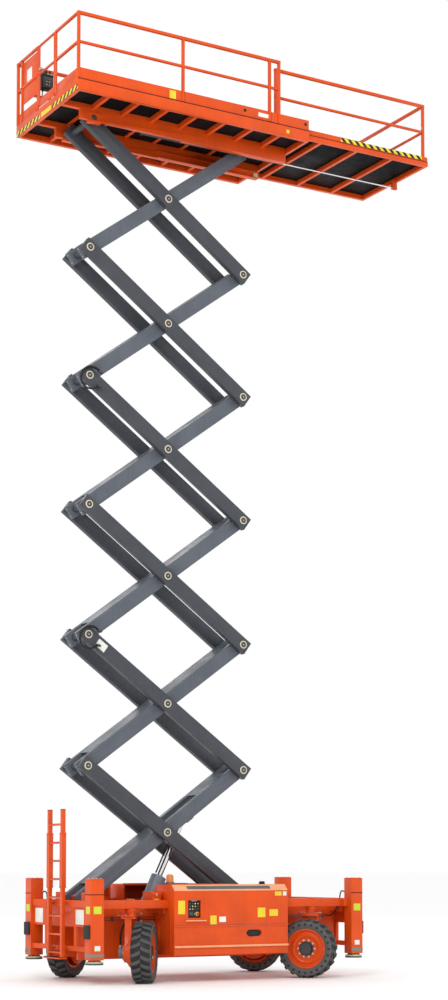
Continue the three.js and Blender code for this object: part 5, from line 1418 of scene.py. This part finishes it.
class LIFT_OT_extension(bpy.types.Operator):
    """Rails, stripes, deck joints and pedal of the extension, and its cylinder's fittings"""
    bl_idname = "lift.extension"
    bl_label = "Extension"

    def execute(self, context):
        whole = bmesh.new()
        base, top, mid = EXT_TOP + 0.0046, EXT_TOP + EXT_RAIL_HEIGHT, EXT_TOP + EXT_MID_RAIL
        left, right, y = CHASSIS_X + 1.02, EXT_RIGHT - 0.1, EXT_Y - TUBE
        toe = EXT_TOP + EXT_TOE_BOARD
        for side in SIDES:
            s = side * y
            add(whole, square((left, s, top - RAIL + TUBE), (right, s, top - RAIL + TUBE), RAIL),
                square((left, s, mid), (right, s, mid), TUBE),
                square((left, s, base + RAIL), (left, s, top - RAIL), RAIL - 0.002),
                square((right, s, base + RAIL), (right, s, top - RAIL), RAIL - 0.002),
                slab((EXT_LEFT + 0.01, EXT_RIGHT - 0.002), about(s, 0.005), (base, toe), 0.002))
            # clip for the safety pin, and the stripes along the toe board
            add(whole, ring(0.014, 0.02, -0.003, 0.003,
                            move(right - 0.04, s + side * 0.03, mid + 0.06) @ turn(90, "X")),
                tint=1)
            plate(whole, (CHASSIS_X + 2.39, EXT_RIGHT - 0.12), span(s, side, 0.005, 0.0065),
                  (EXT_TOP + 0.02, toe - 0.002), 3)
        add(whole, square((right, -y, top - RAIL + TUBE), (right, y, top - RAIL + TUBE),
                          RAIL - 0.001), square((right, -y, mid), (right, y, mid), TUBE - 0.001))
        box(whole, above(EXT_RIGHT, -0.012, -0.002), (-y - 0.005, y + 0.005), (base, toe), 0.002)
        fit("extension_rail_tubes", "extension", whole,
            ("orange", "zinc", "white", "hazard"), replaces=["extension_guardrail"])
        whole = bmesh.new()
        for side in SIDES:
            face = side * EXT_Y
            # seam between the beam and the deck's edge, a dark strip of painted shade
            plate(whole, (EXT_LEFT + 0.02, EXT_RIGHT - 0.004), span(face, side, 0, PLATE),
                  above(EXT_TOP, -0.012, -0.003), 5)
            # foot pedal that locks the extension
            if side < 0:
                box(whole, above(EXT_LEFT, 0.2, 0.34), (-0.9, -0.82), above(EXT_TOP, 0.005, 0.012),
                    0.002)
                add(whole, pipe([(EXT_LEFT + 0.27, -0.9, EXT_TOP + 0.012),
                                 (EXT_LEFT + 0.27, -0.9, EXT_TOP + 0.1),
                                 (EXT_LEFT + 0.27, -0.8, EXT_TOP + 0.1),
                                 (EXT_LEFT + 0.27, -0.8, EXT_TOP + 0.012)], 0.009, corner=0.02),
                    tint=4)
        for x in (EXT_LEFT + 1.25, EXT_LEFT + 2.5):
            deck_joint(whole, x, 1.04, (EXT_TOP + 0.004, EXT_TOP + 0.0055), EXT_TOP + 0.0043,
                       [-0.9 + j * 0.3 for j in range(7)], 3)
        rod_y, rod_z = -0.09, FRAME_Z
        for x, out in ((EXT_RIGHT - 0.03, 1), (EXT_RIGHT - 0.13, -1)):
            add(whole, bar((x, rod_y, rod_z), (x + out * 0.016, rod_y, rod_z), 0.026, 6, 0.002),
                tint=1)
        fit("extension_detail", "extension", whole,
            ("orange", "zinc", "hazard", "black", "yellow", "seam"))
        whole = bmesh.new()
        x0, x1 = PLATFORM_RIGHT - 2.76, PLATFORM_RIGHT - 0.06
        for x in (x0, x1 - 0.05):
            add(whole, ring(0.032, 0.038, 0, 0.05, move(x, rod_y, rod_z) @ turn(90, "Y"), 32))
        for x in (x0 + 0.09, x1 - 0.1):
            add(whole, bar((x, rod_y, rod_z + 0.028), (x, rod_y, rod_z + 0.05), 0.01, 12, 0.001),
                tint=1)
        add(whole, pipe([(x0 + 0.09, rod_y, rod_z + 0.046), (x0 + 0.2, rod_y, rod_z + 0.05),
                         (x0 + 1.4, rod_y, rod_z + 0.05), (x1 - 0.25, rod_y, rod_z + 0.05),
                         (x1 - 0.1, rod_y, rod_z + 0.046)], 0.008), tint=2)
        fit("extension_cylinder_fittings", "platform", whole,
            ("dark_steel", "zinc", "hose"))
        return {"FINISHED"}


# ------------------------------------------------------------------ add-on
STEPS = (LIFT_OT_stage, LIFT_OT_finish_frame, LIFT_OT_wheels, LIFT_OT_steering,
         LIFT_OT_chassis_detail, LIFT_OT_side_covers, LIFT_OT_ground_controls, LIFT_OT_upper_boxes,
         LIFT_OT_ladder_detail, LIFT_OT_jacks, LIFT_OT_arms, LIFT_OT_lift_cylinder,
         LIFT_OT_guardrails, LIFT_OT_platform_detail, LIFT_OT_platform_controls, LIFT_OT_extension)


class LIFT_PT_panel(bpy.types.Panel):
    """Lists the steps in the sidebar"""
    bl_idname = "LIFT_PT_panel"
    bl_label = "Scissor lift"
    bl_space_type = "VIEW_3D"
    bl_region_type = "UI"
    bl_category = "Scissor lift"

    def draw(self, context):
        scene = context.scene
        for group in (scene.lift_sizes, scene.lift_colours):
            for name in group.bl_rna.properties.keys():
                if name not in ("rna_type", "name"):
                    self.layout.prop(group, name)
        for step in STEPS:
            self.layout.operator(step.bl_idname)


CLASSES = (LiftColours, LiftSizes, *STEPS, LIFT_PT_panel)


def register():
    for cls in CLASSES:
        bpy.utils.register_class(cls)
    bpy.types.Scene.lift_colours = PointerProperty(type=LiftColours)
    bpy.types.Scene.lift_sizes = PointerProperty(type=LiftSizes)


def unregister():
    del bpy.types.Scene.lift_sizes
    del bpy.types.Scene.lift_colours
    for cls in reversed(CLASSES):
        bpy.utils.unregister_class(cls)


def main():
    register()
    for step in STEPS:
        getattr(bpy.ops.lift, step.bl_idname.split(".")[1])()


if __name__ == "__main__":
    main()
